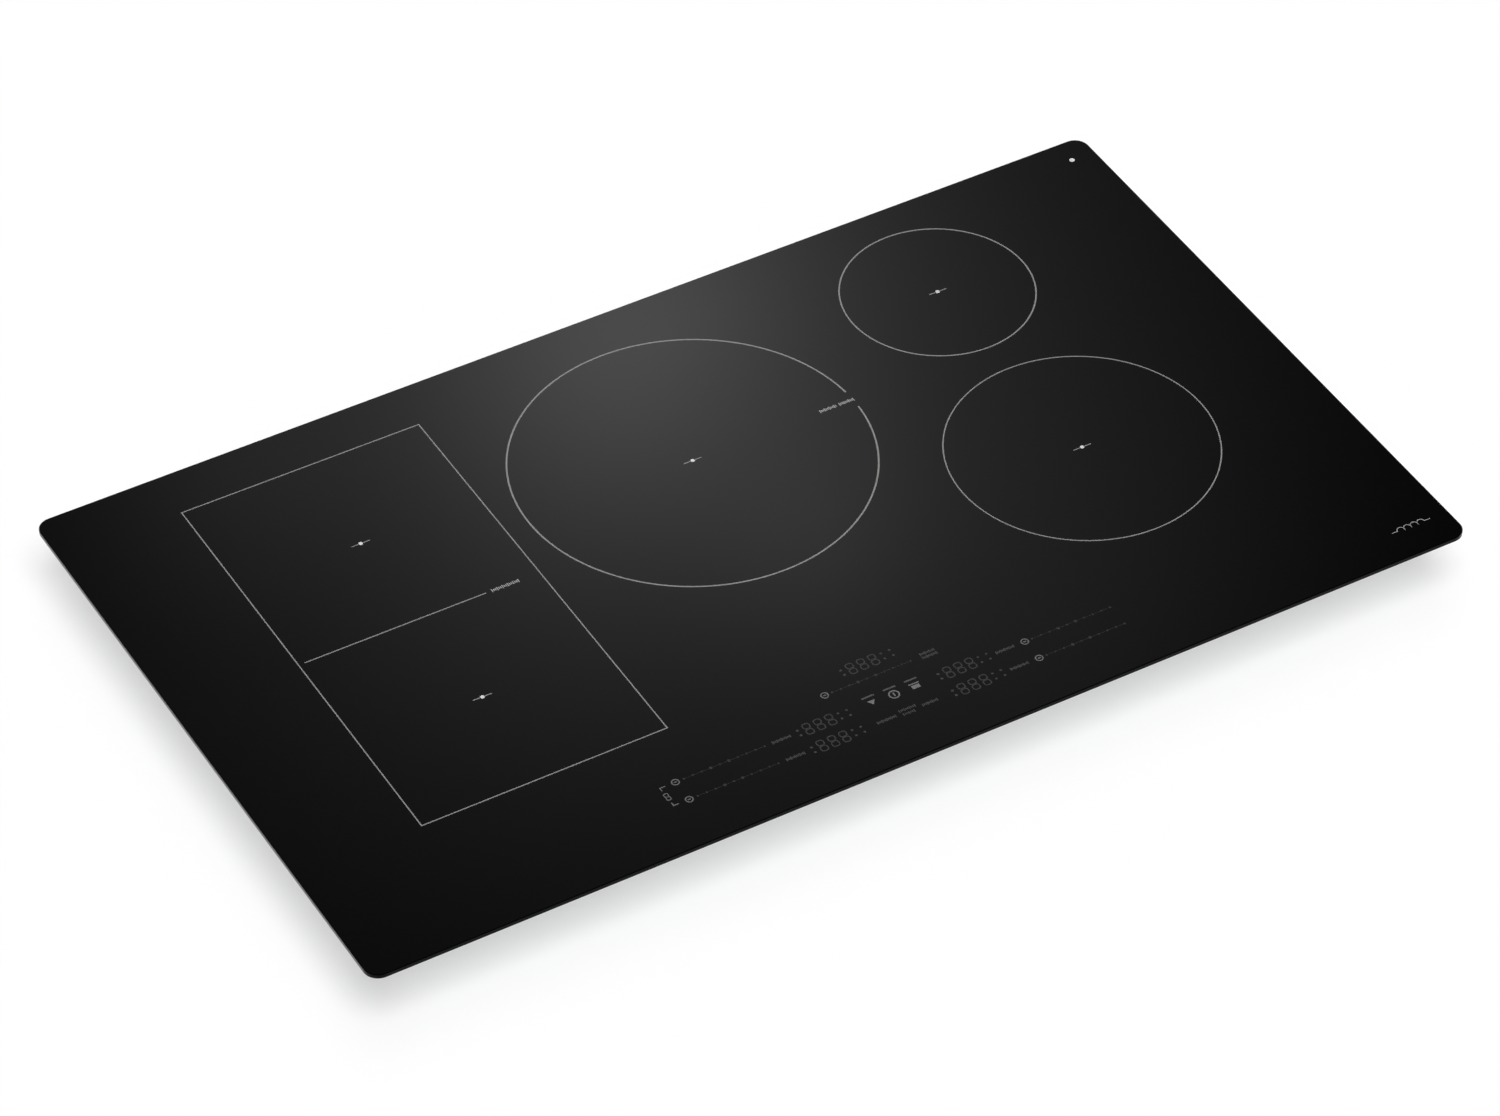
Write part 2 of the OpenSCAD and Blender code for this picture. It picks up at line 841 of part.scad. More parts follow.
// Slots across a round fan inlet
module inlet_slots() {
    n = floor(fan_inlet_r / slot_pitch);
    for (i = [-n:n]) {
        x = i * slot_pitch;
        reach = 2 * sqrt(pow(fan_inlet_r, 2) - pow(abs(x), 2));
        if (reach > 2 * slot_w)
            translate([x, 0])
                air_slot(reach);
    }
}

module foot_outline(t) {
    rounded_rect(foot_w - 2 * t, foot_d - 2 * t, foot_corner - t);
}

// Folded sheet of the pan, before its holes
module pan_sheet() {
    a = atan2(slope_rise, slope_run);
    run = slope_run - pan_t - slope_run * pan_t / slope_rise + pan_t / sin(a);
    rise = slope_rise - pan_t - slope_rise * pan_t / slope_run + pan_t / cos(a);
    difference() {
        pan_block(pan_hw, pan_hd, foot_h, slope_run, slope_rise, wall_top_z);
        pan_block(room_hw, room_hd, floor_z, run, rise, wall_top_z + cut);
    }
}

// Holes, slots and windows of the pan
module pan_holes() {
    for (x = sides, y = sides)
        translate([x * foot_x, y * foot_y, pan_t])
            linear_extrude(floor_z)
                foot_outline(pan_t);
    for (s = sides)
        translate([s * bay_x, fan_y, foot_h - cut])
            linear_extrude(pan_t + 2 * cut)
                inlet_slots();
    for (s = sides, k = [0:2], i = [-2:2])
        translate([s * (outlet_x0 - k * outlet_group) + i * slot_pitch, -foot_y, foot_h - cut])
            linear_extrude(pan_t + 2 * cut)
                air_slot(outlet_l);
    block(0, term_y, foot_h - cut, [cave_w, cave_d, pan_t + 2 * cut]);
    block(0, pan_hd - slope_run / 2, foot_h - cut,
        [2 * (inlet_r + notch_side), slope_run + 2 * cut, inlet_z + inlet_r + notch_top - foot_h + cut]);
    for (x = front_screw_x)
        translate([x, -pan_hd, rail_screw_z])
            rotate([90, 0, 0])
                cylinder(r = screw_hole_r, h = 3 * pan_t, center = true);
    for (x = rear_screw_x)
        translate([x, pan_hd, rail_screw_z])
            rotate([90, 0, 0])
                cylinder(r = screw_hole_r, h = 3 * pan_t, center = true);
    for (s = sides) {
        for (y = side_screw_y)
            side_hole(s, y, rail_screw_z, screw_hole_r);
        for (y = sides, e = sides)
            side_hole(s, y * clip_y + e * clip_screw_y, clip_screw_z, screw_hole_r);
        for (y = sides)
            side_hole(s, y * bracket_hole_y, bracket_hole_z, bracket_hole_r);
        for (y = sides)
            block(s * pan_hw, y * clip_y, clip_window_z,
                [4 * pan_t, clip_window_w, clip_window_top - clip_window_z]);
    }
}

// Pan with pressed feet, and the service panel spot-welded into its rear edge
module base_pan() {
    color("#9a9da0") {
        difference() {
            union() {
                pan_sheet();
                for (x = sides, y = sides)
                    translate([x * foot_x, y * foot_y])
                        linear_extrude(foot_h + pan_t / 2)
                            foot_outline(0);
            }
            service_bay(0);
            pan_holes();
        }
        difference() {
            intersection() {
                pan_sheet();
                service_bay(panel_seam);
            }
            pan_holes();
        }
    }
}

// Place behind the terminal box where a panel of its own closes the pan, smaller all round by gap
module service_bay(gap) {
    block(0, cave_rear_y - panel_lap + gap + pan_hd / 2, -cut, [panel_w - 2 * gap, pan_hd, flange_z + cut]);
}

// Round hole through a side wall of the pan
module side_hole(side, y, z, r) {
    translate([side * pan_hw, y, z])
        rotate([0, 90, 0])
            cylinder(r = r, h = 3 * pan_t, center = true);
}

// Fixed foot of a clip: a strip on the wall with a rolled hook along its lower edge
module clip_mount() {
    difference() {
        translate([pan_hw, -clip_mount_w / 2, bend_z])
            cube([clip_t, clip_mount_w, clip_mount_h]);
        for (e = sides)
            translate([pan_hw, e * clip_screw_y, clip_screw_z])
                rotate([0, 90, 0])
                    cylinder(r = screw_hole_r, h = 4 * clip_t, center = true);
    }
    along_y(leaf_w)
        translate([bend_x, bend_z])
            difference() {
                circle(bend_r);
                circle(bend_r - clip_t);
                translate([-2 * bend_r, 0])
                    square(4 * bend_r);
            }
}

module clip_mounts() {
    color("#8f9396")
        for (s = sides, y = sides)
            bay(s)
                translate([0, y * clip_y, 0])
                    clip_mount();
}

module clip_screws() {
    color("#c9cbcd")
        for (s = sides, y = sides, e = sides)
            bay(s)
                translate([pan_hw + clip_t, y * clip_y + e * clip_screw_y, clip_screw_z])
                    rotate([0, 90, 0])
                        screw(clip_screw_l);
}

// Spring leaf: rolled end in the hook, ramp out to its widest point, then back to its free end
module clip_leaf(side, y) {
    out = pan_hw + clip_bulge - bend_x - clip_t / 2;
    ramp = atan2(leaf_h, out);
    back = atan2(leaf_tip_h, -tip_in);
    color("#b4b7ba")
        bay(side)
            translate([bend_x, y, bend_z])
                along_y(leaf_w) {
                    circle(roll_r);
                    rotate(ramp)
                        translate([0, -clip_t / 2])
                            square([norm([out, leaf_h]), clip_t]);
                    translate([out, leaf_h]) {
                        circle(d = clip_t);
                        rotate(back)
                            translate([0, -clip_t / 2])
                                square([norm([tip_in, leaf_tip_h]), clip_t]);
                    }
                }
}

module clip_front_left() {
    clip_leaf(-1, -clip_y);
}

module clip_rear_left() {
    clip_leaf(-1, clip_y);
}

module clip_front_right() {
    clip_leaf(1, -clip_y);
}

module clip_rear_right() {
    clip_leaf(1, clip_y);
}

/* Coil plate and standoffs */

module coil_plate() {
    color("#c4c7ca")
        translate([0, 0, plate_z])
            difference() {
                linear_extrude(plate_t)
                    square([2 * (room_hw - plate_inset), 2 * (room_hd - plate_inset)], center = true);
                at_each([for (p = post_at) [p[0], p[1], plate_t / 2]])
                    cylinder(r = screw_hole_r, h = 3 * plate_t, center = true);
                for (i = [0:len(lead_from) - 1])
                    translate([0, 0, -cut])
                        linear_extrude(plate_t + 2 * cut)
                            translate(lead_from[i])
                                rounded_rect(window_l, window_w, window_corner);
            }
}

module standoffs() {
    color("#d0d2d4") {
        at_each([for (p = post_at) [p[0], p[1], floor_z]])
            difference() {
                cylinder(r = post_r, h = plate_z - floor_z);
                translate([0, 0, plate_z - floor_z - post_bore_l])
                    cylinder(r = screw_bore_r, h = post_bore_l + cut);
            }
        at_each([for (p = board_pegs(0, filter_y, filter_w, filter_d)) [p[0], p[1], floor_z]])
            board_peg(board_z - floor_z);
    }
}

module plate_screws() {
    color("#c9cbcd")
        at_each([for (p = post_at) [p[0], p[1], plate_top_z]])
            screw(plate_screw_l);
}

/* Coils */

// Round carrier: disc with a rim, radial windows, a hub for the sensor and pockets for ferrites
module round_carrier(zone) {
    r = zone[2];
    n = zone[3];
    bar = r - coil_hole_r;
    color("#3a3c40")
        translate([zone[0], zone[1], carrier_z])
            difference() {
                union() {
                    cylinder(r = r + carrier_rim, h = carrier_t, $fn = 96);
                    for (i = [0:n - 1])
                        rotate(360 * (i + 0.5) / n)
                            translate([coil_hole_r, -ferrite_w / 2 - ferrite_lip, -ferrite_t / 2])
                                cube([bar, ferrite_w + 2 * ferrite_lip, ferrite_t / 2 + pocket_root]);
                }
                translate([0, 0, -ferrite_t])
                    cylinder(r = sensor_r + sensor_gap, h = 3 * ferrite_t);
                for (i = [0:n - 1]) {
                    rotate(360 * (i + 0.5) / n)
                        translate([coil_hole_r - cut, -ferrite_w / 2 - ferrite_gap, -ferrite_t])
                            cube([bar + 2 * cut, ferrite_w + 2 * ferrite_gap, ferrite_t]);
                    rotate(360 * i / n)
                        translate([vent_start(n), -vent_w / 2, -cut])
                            cube([r - vent_rim - vent_start(n), vent_w, carrier_t + 2 * cut]);
                }
            }
}

// Radius at which a window between two of n ferrite pockets clears them
function vent_start(n) = ((vent_w + ferrite_w) / 2 + ferrite_lip + vent_gap) / sin(180 / n);

// Carrier of one half of the linked zone, with its ferrites lying left to right
module flex_carrier(y) {
    w = flex_coil_w + 2 * carrier_rim;
    d = flex_coil_d + 2 * carrier_rim;
    color("#3a3c40")
        translate([-flex_x, y, carrier_z])
            difference() {
                union() {
                    linear_extrude(carrier_t)
                        rounded_rect(w, d, flex_coil_corner + carrier_rim);
                    for (p = flex_bars)
                        block(p[0], p[1], -ferrite_t / 2,
                            [flex_bar_l, ferrite_w + 2 * ferrite_lip, ferrite_t / 2 + pocket_root]);
                }
                translate([0, 0, -ferrite_t])
                    cylinder(r = sensor_r + sensor_gap, h = 3 * ferrite_t);
                for (p = flex_bars)
                    block(p[0], p[1], -ferrite_t,
                        [flex_bar_l + 2 * cut, ferrite_w + 2 * ferrite_gap, ferrite_t]);
                for (x = sides, y = sides)
                    block(x * (coil_hole_r + flex_bar_l / 2), y * flex_bar_y / 2, -cut,
                        [flex_bar_l - 2 * vent_inset, vent_w, carrier_t + 2 * cut]);
            }
}

module carrier_flex_rear() {
    flex_carrier(flex_rear_y);
}

module carrier_flex_front() {
    flex_carrier(flex_front_y);
}

module carrier_centre() {
    round_carrier(centre_zone);
}

module carrier_rear_right() {
    round_carrier(rear_zone);
}

module carrier_front_right() {
    round_carrier(front_zone);
}

// Flat spiral between two radii: a thin web that carries one round turn beside the next
module round_winding(r_in, r_out) {
    n = floor((r_out - r_in) / wire_d);
    pitch = (r_out - r_in) / n;
    rotate_extrude($fn = 96) {
        translate([r_in + wire_d / 2, wire_d / 2 - winding_web / 2])
            square([r_out - r_in - wire_d, winding_web]);
        for (i = [0:n - 1])
            translate([r_in + pitch * (i + 0.5), wire_d / 2])
                circle(d = wire_d, $fn = 24);
    }
}

// Flat winding of nested turns with rounded corners
module flex_winding(y) {
    n = floor((min(flex_coil_w, flex_coil_d) / 2 - coil_hole_r) / wire_d);
    lay = wire_d - flex_turn_gap;
    color("#b4713b")
        translate([-flex_x, y, winding_z]) {
            for (i = [0:n - 1]) {
                w = flex_coil_w - 2 * i * wire_d;
                d = flex_coil_d - 2 * i * wire_d;
                r = max(flex_coil_corner - i * wire_d, flex_hole_corner);
                linear_extrude(wire_d)
                    rounded_ring(w, d, r, lay);
            }
            translate([0, 0, wire_d / 2 - winding_web / 2])
                linear_extrude(winding_web)
                    difference() {
                        rounded_rect(flex_coil_w - wire_d, flex_coil_d - wire_d, flex_coil_corner);
                        square([
                            flex_coil_w - (2 * n - 1) * wire_d,
                            flex_coil_d - (2 * n - 1) * wire_d
                        ], center = true);
                    }
        }
}

module winding_flex_rear() {
    flex_winding(flex_rear_y);
}

module winding_flex_front() {
    flex_winding(flex_front_y);
}

module winding_centre() {
    color("#b4713b")
        translate([centre_zone[0], centre_zone[1], winding_z]) {
            round_winding(coil_hole_r, inner_winding_r - coil_split / 2);
            round_winding(inner_winding_r + coil_split / 2, centre_coil_r);
        }
}

module winding_rear_right() {
    color("#b4713b")
        translate([rear_zone[0], rear_zone[1], winding_z])
            round_winding(coil_hole_r, rear_coil_r);
}

module winding_front_right() {
    color("#b4713b")
        translate([front_zone[0], front_zone[1], winding_z])
            round_winding(coil_hole_r, front_coil_r);
}

module ferrite_bars() {
    color("#4a4a4d") {
        for (zone = round_zones, i = [0:zone[3] - 1])
            translate([zone[0], zone[1], ferrite_z])
                rotate(360 * (i + 0.5) / zone[3])
                    translate([ferrite_start(zone), -ferrite_w / 2, 0])
                        cube([zone[2] - ferrite_start(zone), ferrite_w, ferrite_t]);
        for (y = flex_ys, p = flex_bars)
            block(p[0] - flex_x, p[1] + y, ferrite_z, [flex_bar_l, ferrite_w, ferrite_t]);
    }
}

// Radius at which neighbouring ferrite bars of a round coil clear each other
function ferrite_start(zone) =
    max(coil_hole_r, (ferrite_w / 2 + ferrite_space) / tan(180 / zone[3]));

module mica_sheets() {
    color("#c9bfa6")
        translate([0, 0, mica_z]) {
            for (zone = round_zones)
                translate([zone[0], zone[1], 0])
                    difference() {
                        cylinder(r = zone[2] + carrier_rim, h = mica_t, $fn = 96);
                        translate([0, 0, -cut])
                            cylinder(r = sensor_r + mica_hole_gap, h = mica_t + 2 * cut);
                    }
            for (y = flex_ys)
                translate([-flex_x, y, 0])
                    linear_extrude(mica_t)
                        difference() {
                            rounded_rect(flex_coil_w + 2 * carrier_rim, flex_coil_d + 2 * carrier_rim,
                                flex_coil_corner + carrier_rim);
                            circle(sensor_r + mica_hole_gap);
                        }
        }
}

module pan_sensors() {
    color("#e6e2d8")
        for (p = zone_centres)
            translate([p[0], p[1], carrier_z - sensor_foot]) {
                cylinder(r = sensor_r, h = glass_z - carrier_z + sensor_foot);
                translate([0, 0, carrier_t + sensor_foot])
                    cylinder(r = sensor_r + sensor_flange, h = sensor_flange_t);
            }
}

// Bow spring: a strip arched up from the plate to the underside of a carrier
module bow_spring() {
    rise = spring_h - lay_gap;
    half = (spring_l - spring_foot) / 2 - 1;
    r = (pow(half, 2) + pow(rise, 2)) / (2 * rise);
    along_x(spring_w) {
        translate([0, rise - r])
            difference() {
                circle(r, $fn = 96);
                circle(r - spring_t, $fn = 96);
                translate([-2 * r, -4 * r - rise + r])
                    square(4 * r);
            }
        for (s = sides)
            translate([s * (half + 1) - spring_foot / 2, 0])
                square([spring_foot, spring_t]);
    }
}

module carrier_springs() {
    color("#b4b7ba")
        translate([0, 0, plate_top_z]) {
            for (zone = round_zones, a = zone[4])
                translate([zone[0], zone[1], 0])
                    rotate(a)
                        translate([zone[2] - spring_inset, 0, 0])
                            bow_spring();
            for (y = flex_ys, x = sides, e = sides)
                translate([-flex_x + x * flex_spring_x, y + e * flex_spring_y, 0])
                    rotate(90)
                        bow_spring();
        }
}

// Point at t along the smooth curve from a to b whose end directions are set by da and db
function curve_point(a, da, db, b, t) =
    pow(1 - t, 3) * a + 3 * pow(1 - t, 2) * t * (a + da) + 3 * (1 - t) * t * t * (b + db) + pow(t, 3) * b;

function unit(v) = v / norm(v);

// Ring of points round p, square to the direction t, which never runs along X
function wire_ring(p, t, r) =
    let (v = unit(cross(t, [1, 0, 0])), u = cross(v, t))
    [for (k = [0:wire_sides - 1]) p + r * (cos(360 * k / wire_sides) * u + sin(360 * k / wire_sides) * v)];

// Insulated wire swept along a smooth curve
module wire(a, da, db, b, r) {
    n = wire_rings;
    m = wire_sides;
    path = [for (i = [0:n]) curve_point(a, da, db, b, i / n)];
    dirs = [
        for (i = [0:n])
            i == 0 ? unit(da) : i == n ? unit(-db) : unit(path[i + 1] - path[i - 1])
    ];
    points = [for (i = [0:n]) each wire_ring(path[i], dirs[i], r)];
    sides = [
        for (i = [0:n - 1], k = [0:m - 1])
            [i * m + k, i * m + (k + 1) % m, (i + 1) * m + (k + 1) % m, (i + 1) * m + k]
    ];
    ends = [[for (k = [0:m - 1]) m - 1 - k], [for (k = [0:m - 1]) n * m + k]];
    polyhedron(points, concat(sides, ends));
}

module coil_leads() {
    color("#d8d3c4")
        for (i = [0:len(lead_from) - 1], e = sides) {
            a = lead_from[i] + [e * lead_split, 0];
            b = lead_to[i] + [e * lead_split, 0];
            wire([a[0], a[1], carrier_z - lay_gap], [0, 0, -lead_drop], [0, 0, lead_rise],
                [b[0], b[1], board_top_z + terminal_h + lay_gap], lead_r);
        }
}

module coil_terminals() {
    color("#c8ab55")
        for (i = [0:len(lead_to) - 1], e = sides)
            block(lead_to[i][0] + e * lead_split, lead_to[i][1], board_top_z,
                [terminal_w, terminal_w, terminal_h]);
}

/* Electronics */

// Fixing points of a board, near its corners and halfway along its sides
function board_pegs(x, y, w, d) = [
    for (sx = sides, sy = [-1, 0, 1])
        [x + sx * (w / 2 - peg_inset), y + sy * (d / 2 - peg_inset)]
];

// Peg with a screw hole from above
module board_peg(h) {
    difference() {
        cylinder(r = peg_r, h = h);
        translate([0, 0, pan_t])
            cylinder(r = screw_bore_r, h = h);
    }
}

// Circuit board with a hole at each fixing point
module circuit_board(x, y, w, d, colour) {
    color(colour)
        difference() {
            block(x, y, board_z, [w, d, board_t]);
            at_each([for (p = board_pegs(x, y, w, d)) [p[0], p[1], board_z]])
                cylinder(r = screw_hole_r, h = 3 * board_t, center = true);
        }
}

module board_tray(side) {
    w = board_w + 2 * tray_edge;
    d = board_d + 2 * tray_edge;
    color("#d7d8d6")
        bay(side) {
            difference() {
                block(bay_x, board_y, floor_z, [w, d, tray_h]);
                block(bay_x, board_y, floor_z + tray_t,
                    [w - 2 * tray_rim, d - 2 * tray_rim, tray_h]);
            }
            at_each([for (p = board_pegs(bay_x, board_y, board_w, board_d)) [p[0], p[1], floor_z + tray_t]])
                board_peg(board_lift);
        }
}

module board_tray_left() {
    board_tray(-1);
}

module board_tray_right() {
    board_tray(1);
}

module power_board_left() {
    circuit_board(-bay_x, board_y, board_w, board_d, "#1f5c38");
}

module power_board_right() {
    circuit_board(bay_x, board_y, board_w, board_d, "#1f5c38");
}

module filter_board() {
    circuit_board(0, filter_y, filter_w, filter_d, "#2a6b3f");
}

module board_screws() {
    pegs = concat(
        board_pegs(bay_x, board_y, board_w, board_d),
        board_pegs(-bay_x, board_y, board_w, board_d),
        board_pegs(0, filter_y, filter_w, filter_d)
    );
    color("#c9cbcd")
        at_each([for (p = pegs) [p[0], p[1], board_top_z]])
            screw(board_t + board_lift - pan_t);
}

// Finned extrusion in line with the fan's outlet, standing on four feet
module heat_sink(side) {
    z = board_top_z + device_h;
    pitch = (sink_w - fin_t) / (sink_fins - 1);
    color("#aeb1b4")
        bay(side)
            translate([bay_x + sink_x, board_y, 0]) {
                block(0, 0, z, [sink_w, sink_l, sink_base_t]);
                for (i = [0:sink_fins - 1])
                    block((i - (sink_fins - 1) / 2) * pitch, 0, z, [fin_t, sink_l, sink_h]);
                for (x = sides, y = sides)
                    block(x * (sink_w - sink_foot) / 2, y * (sink_l - sink_foot) / 2, board_top_z,
                        [sink_foot, sink_foot, device_h + sink_base_t]);
            }
}

module heat_sink_left() {
    heat_sink(-1);
}

module heat_sink_right() {
    heat_sink(1);
}

module power_transistors() {
    color("#202124")
        for (s = sides, i = [-device_n:device_n], e = sides)
            bay(s)
                block(bay_x + sink_x + e * device_x, board_y + i * device_pitch, board_top_z,
                    [device_w, device_l, device_h]);
}

// Film capacitors of a power board, in a row beside its heat sink, and those of the filter board
module film_capacitors() {
    color("#d9a441") {
        for (s = sides, i = [0:capacitor_n - 1])
            bay(s)
                block(bay_x - capacitor_x, capacitor_y + (i - (capacitor_n - 1) / 2) * capacitor_pitch,
                    board_top_z, [capacitor_w, capacitor_l, capacitor_h]);
        for (i = [-1:1])
            block(i * filter_part_pitch, filter_y - filter_d / 2 + filter_capacitor_inset, board_top_z,
                [capacitor_w, filter_capacitor_l, capacitor_h]);
    }
}

// Wound toroids: the bus chokes of the power boards and the filter's common-mode chokes
module chokes() {
    color("#8a4a24") {
        for (s = sides, i = [0, 1])
            bay(s)
                translate([bay_x - choke_x, choke_y - i * choke_pitch, board_top_z])
                    toroid(choke_r, choke_wire_r);
        for (x = sides)
            translate([x * filter_part_pitch, filter_y - filter_choke_drop, board_top_z])
                toroid(filter_choke_r, filter_choke_wire_r);
    }
}

module toroid(r, wire_r) {
    translate([0, 0, wire_r])
        rotate_extrude()
            translate([r - wire_r, 0])
                circle(wire_r, $fn = 32);
}

/* Fans */

// Plan of the housing: a round chamber that opens into a straight duct
module fan_outline(t) {
    translate([volute_shift, 0])
        circle(fan_case_r - t, $fn = 96);
    translate([t - fan_tongue, -fan_duct_l - (t > 0 ? cut : 0)])
        square([volute_shift + fan_case_r + fan_tongue - 2 * t, fan_duct_l + (t > 0 ? cut : 0)]);
}

module fan_housing(side) {
    color("#2d2e31")
        bay(side)
            translate([bay_x, fan_y, 0])
                difference() {
                    translate([0, 0, floor_z])
                        linear_extrude(fan_top_z - floor_z)
                            fan_outline(0);
                    translate([0, 0, fan_floor_z])
                        linear_extrude(fan_roof_z - fan_floor_z)
                            fan_outline(fan_wall);
                    translate([0, 0, floor_z - cut])
                        cylinder(r = fan_inlet_r, h = fan_wall + 2 * cut);
                }
}

module fan_housing_left() {
    fan_housing(-1);
}

module fan_housing_right() {
    fan_housing(1);
}

// Motor under the housing's roof: flange, windings and a fixed shaft
module fan_motor(side) {
    can_r = hub_r - hub_wall - hub_gap;
    shaft_end_z = rotor_z + shaft_end_gap;
    can_z = rotor_z + can_gap;
    color("#6b6f73")
        translate([side * bay_x, fan_y, 0]) {
            translate([0, 0, fan_roof_z - motor_flange_h])
                cylinder(r = hub_r, h = motor_flange_h);
            translate([0, 0, can_z])
                cylinder(r = can_r, h = fan_roof_z - motor_flange_h - can_z);
            translate([0, 0, shaft_end_z])
                cylinder(r = shaft_r, h = fan_roof_z - shaft_end_z);
        }
}

module fan_motor_left() {
    fan_motor(-1);
}

module fan_motor_right() {
    fan_motor(1);
}

// Rotor: cup round the motor, plate, raked blades and a ring that ties their lower ends
module fan_rotor(side) {
    h = rotor_top_z - rotor_z;
    color("#1c1d1f")
        bay(side)
            translate([bay_x, fan_y, rotor_z])
                difference() {
                    union() {
                        cylinder(r = hub_r, h = h);
                        translate([0, 0, h - rotor_plate_t])
                            cylinder(r = rotor_r, h = rotor_plate_t);
                        difference() {
                            cylinder(r = rotor_r, h = rotor_plate_t);
                            translate([0, 0, -cut])
                                cylinder(r = rotor_r - rotor_ring_w, h = rotor_plate_t + 2 * cut);
                        }
                        for (i = [0:fan_blades - 1])
                            rotate(360 * i / fan_blades)
                                translate([rotor_r - blade_edge, 0, blade_sink])
                                    rotate(180 - blade_angle)
                                        translate([0, -blade_t / 2, 0])
                                            cube([blade_l, blade_t, h - 2 * blade_sink]);
                    }
                    translate([0, 0, rotor_hub_t])
                        cylinder(r = hub_r - hub_wall, h = h);
                    translate([0, 0, -cut])
                        cylinder(r = shaft_r + shaft_gap, h = h);
                }
}

module fan_rotor_left() {
    fan_rotor(-1);
}

module fan_rotor_right() {
    fan_rotor(1);
}

/* Touch controls */

module touch_holder() {
    color("#333539") {
        difference() {
            block(touch_x, touch_y, plate_top_z, [touch_w, touch_d, touch_board_top - plate_top_z]);
            block(touch_x, touch_y, plate_top_z + touch_floor_t,
                [touch_w - 2 * touch_wall, touch_d - 2 * touch_wall, glass_z]);
        }
        at_each([for (p = touch_pegs) [p[0], p[1], plate_top_z + touch_floor_t / 2]])
            cylinder(r = touch_peg_r, h = touch_board_z - plate_top_z - touch_floor_t / 2);
    }
}

module touch_board() {
    color("#14472b")
        block(touch_x, touch_y, touch_board_z, [touch_w - 2 * touch_wall - touch_board_gap,
            touch_d - 2 * touch_wall - touch_board_gap, board_t]);
}

module digit_displays() {
    color("#17181a")
        for (p = display_at)
            block(p[0], p[1], touch_board_top, [display_w, display_d, display_h]);
}

// Hollow contact springs that carry each key's field up to the glass
module touch_springs() {
    color("#c9cbcd")
        at_each([for (p = key_at) [p[0], p[1], touch_board_top]])
            difference() {
                cylinder(r = key_r, h = glass_z - touch_board_top);
                translate([0, 0, -cut])
                    cylinder(r = key_r - key_wall, h = glass_z);
            }
}

/* Terminal box */

module terminal_box() {
    color("#1f2023")
        difference() {
            union() {
                block(0, term_y, floor_z, [term_w, term_d, term_h]);
                for (s = sides)
                    block(s * (cave_w / 2 - ear_t / 2), hinge_y, hinge_z - knuckle_r,
                        [ear_t - 2 * lid_side_gap, 2 * knuckle_r, term_h / 2]);
                translate([0, term_rear_y - term_wall, inlet_z])
                    rotate([-90, 0, 0])
                        cylinder(r = inlet_r + inlet_wall, h = inlet_l);
            }
            difference() {
                block(0, term_y, floor_z - cut, [cave_w, cave_d, term_h - term_wall + cut]);
                for (s = sides)
                    block(s * (cave_w / 2 - ear_t / 2), hinge_y, floor_z - 2 * cut,
                        [ear_t + cut, 2 * knuckle_r, term_h]);
            }
            translate([0, hinge_y, hinge_z])
                rotate([0, 90, 0])
                    cylinder(r = lid_pin_r + pin_gap, h = cave_w - 2 * lid_side_gap + cut, center = true);
            translate([0, term_rear_y - term_wall - cut, inlet_z])
                rotate([-90, 0, 0])
                    cylinder(r = inlet_r, h = inlet_l + 2 * cut);
            block(0, term_y - term_d / 2, floor_z + term_h - lead_slot_drop,
                [pole_pitch * poles, 4 * term_wall, lead_slot_h]);
        }
}

// Snap lid under the box, hinged at its front edge
module terminal_lid() {
    rear_y = cave_rear_y + lid_lap;
    pin_l = cave_w - 2 * lid_side_gap;
    knuckle_l = cave_w - 2 * (ear_t + knuckle_gap);
    front_y = cave_front_y + 2 * (knuckle_r + knuckle_gap);
    color("#26272b")
        difference() {
            union() {
                translate([-cave_w / 2 - lid_lap, front_y, lid_z])
                    cube([cave_w + 2 * lid_lap, rear_y - front_y, lid_t]);
                translate([-knuckle_l / 2, hinge_y, lid_z])
                    cube([knuckle_l, rear_y - hinge_y, lid_t]);
                translate([0, hinge_y, hinge_z])
                    rotate([0, 90, 0]) {
                        cylinder(r = lid_pin_r, h = pin_l, center = true);
                        cylinder(r = knuckle_r, h = knuckle_l, center = true);
                    }
                for (s = sides)
                    translate([s * cave_w / 3 - latch_w / 2, cave_rear_y - latch_gap - latch_t, lid_z])
                        cube([latch_w, latch_t, floor_z + latch_h - lid_z]);
            }
            block(0, rear_y, lid_z - cut, [lid_notch[0], lid_notch[1], lid_t + 2 * cut]);
        }
}

// Middle of pole i, counted from the left
function pole_x(i) = (i - (poles - 1) / 2) * pole_pitch;

module terminal_block() {
    color("#e3e1d9")
        difference() {
            block(0, block_y, block_z, [block_w, block_d, block_h]);
            for (i = [0:poles - 1])
                block(pole_x(i), block_y, block_z - cut, [pole_w, block_d - 2 * pole_rim, pole_depth + cut]);
        }
}

module terminal_screws() {
    color("#c8ab55")
        for (i = [0:poles - 1], e = sides)
            translate([pole_x(i), block_y + e * pole_screw_y, block_z + pole_depth - pole_screw_h])
                cylinder(r = pole_screw_r, h = pole_screw_h);
}

module supply_leads() {
    color("#5a3b2a")
        for (i = [0:poles - 1])
            wire([pole_x(i), block_y - block_d / 2, floor_z + term_h - supply_lead_drop],
                [0, -supply_lead_reach, 0], [0, 0, supply_lead_rise],
                [pole_x(i), filter_y + filter_d / 2 - supply_lead_inset, board_top_z], supply_r);
}

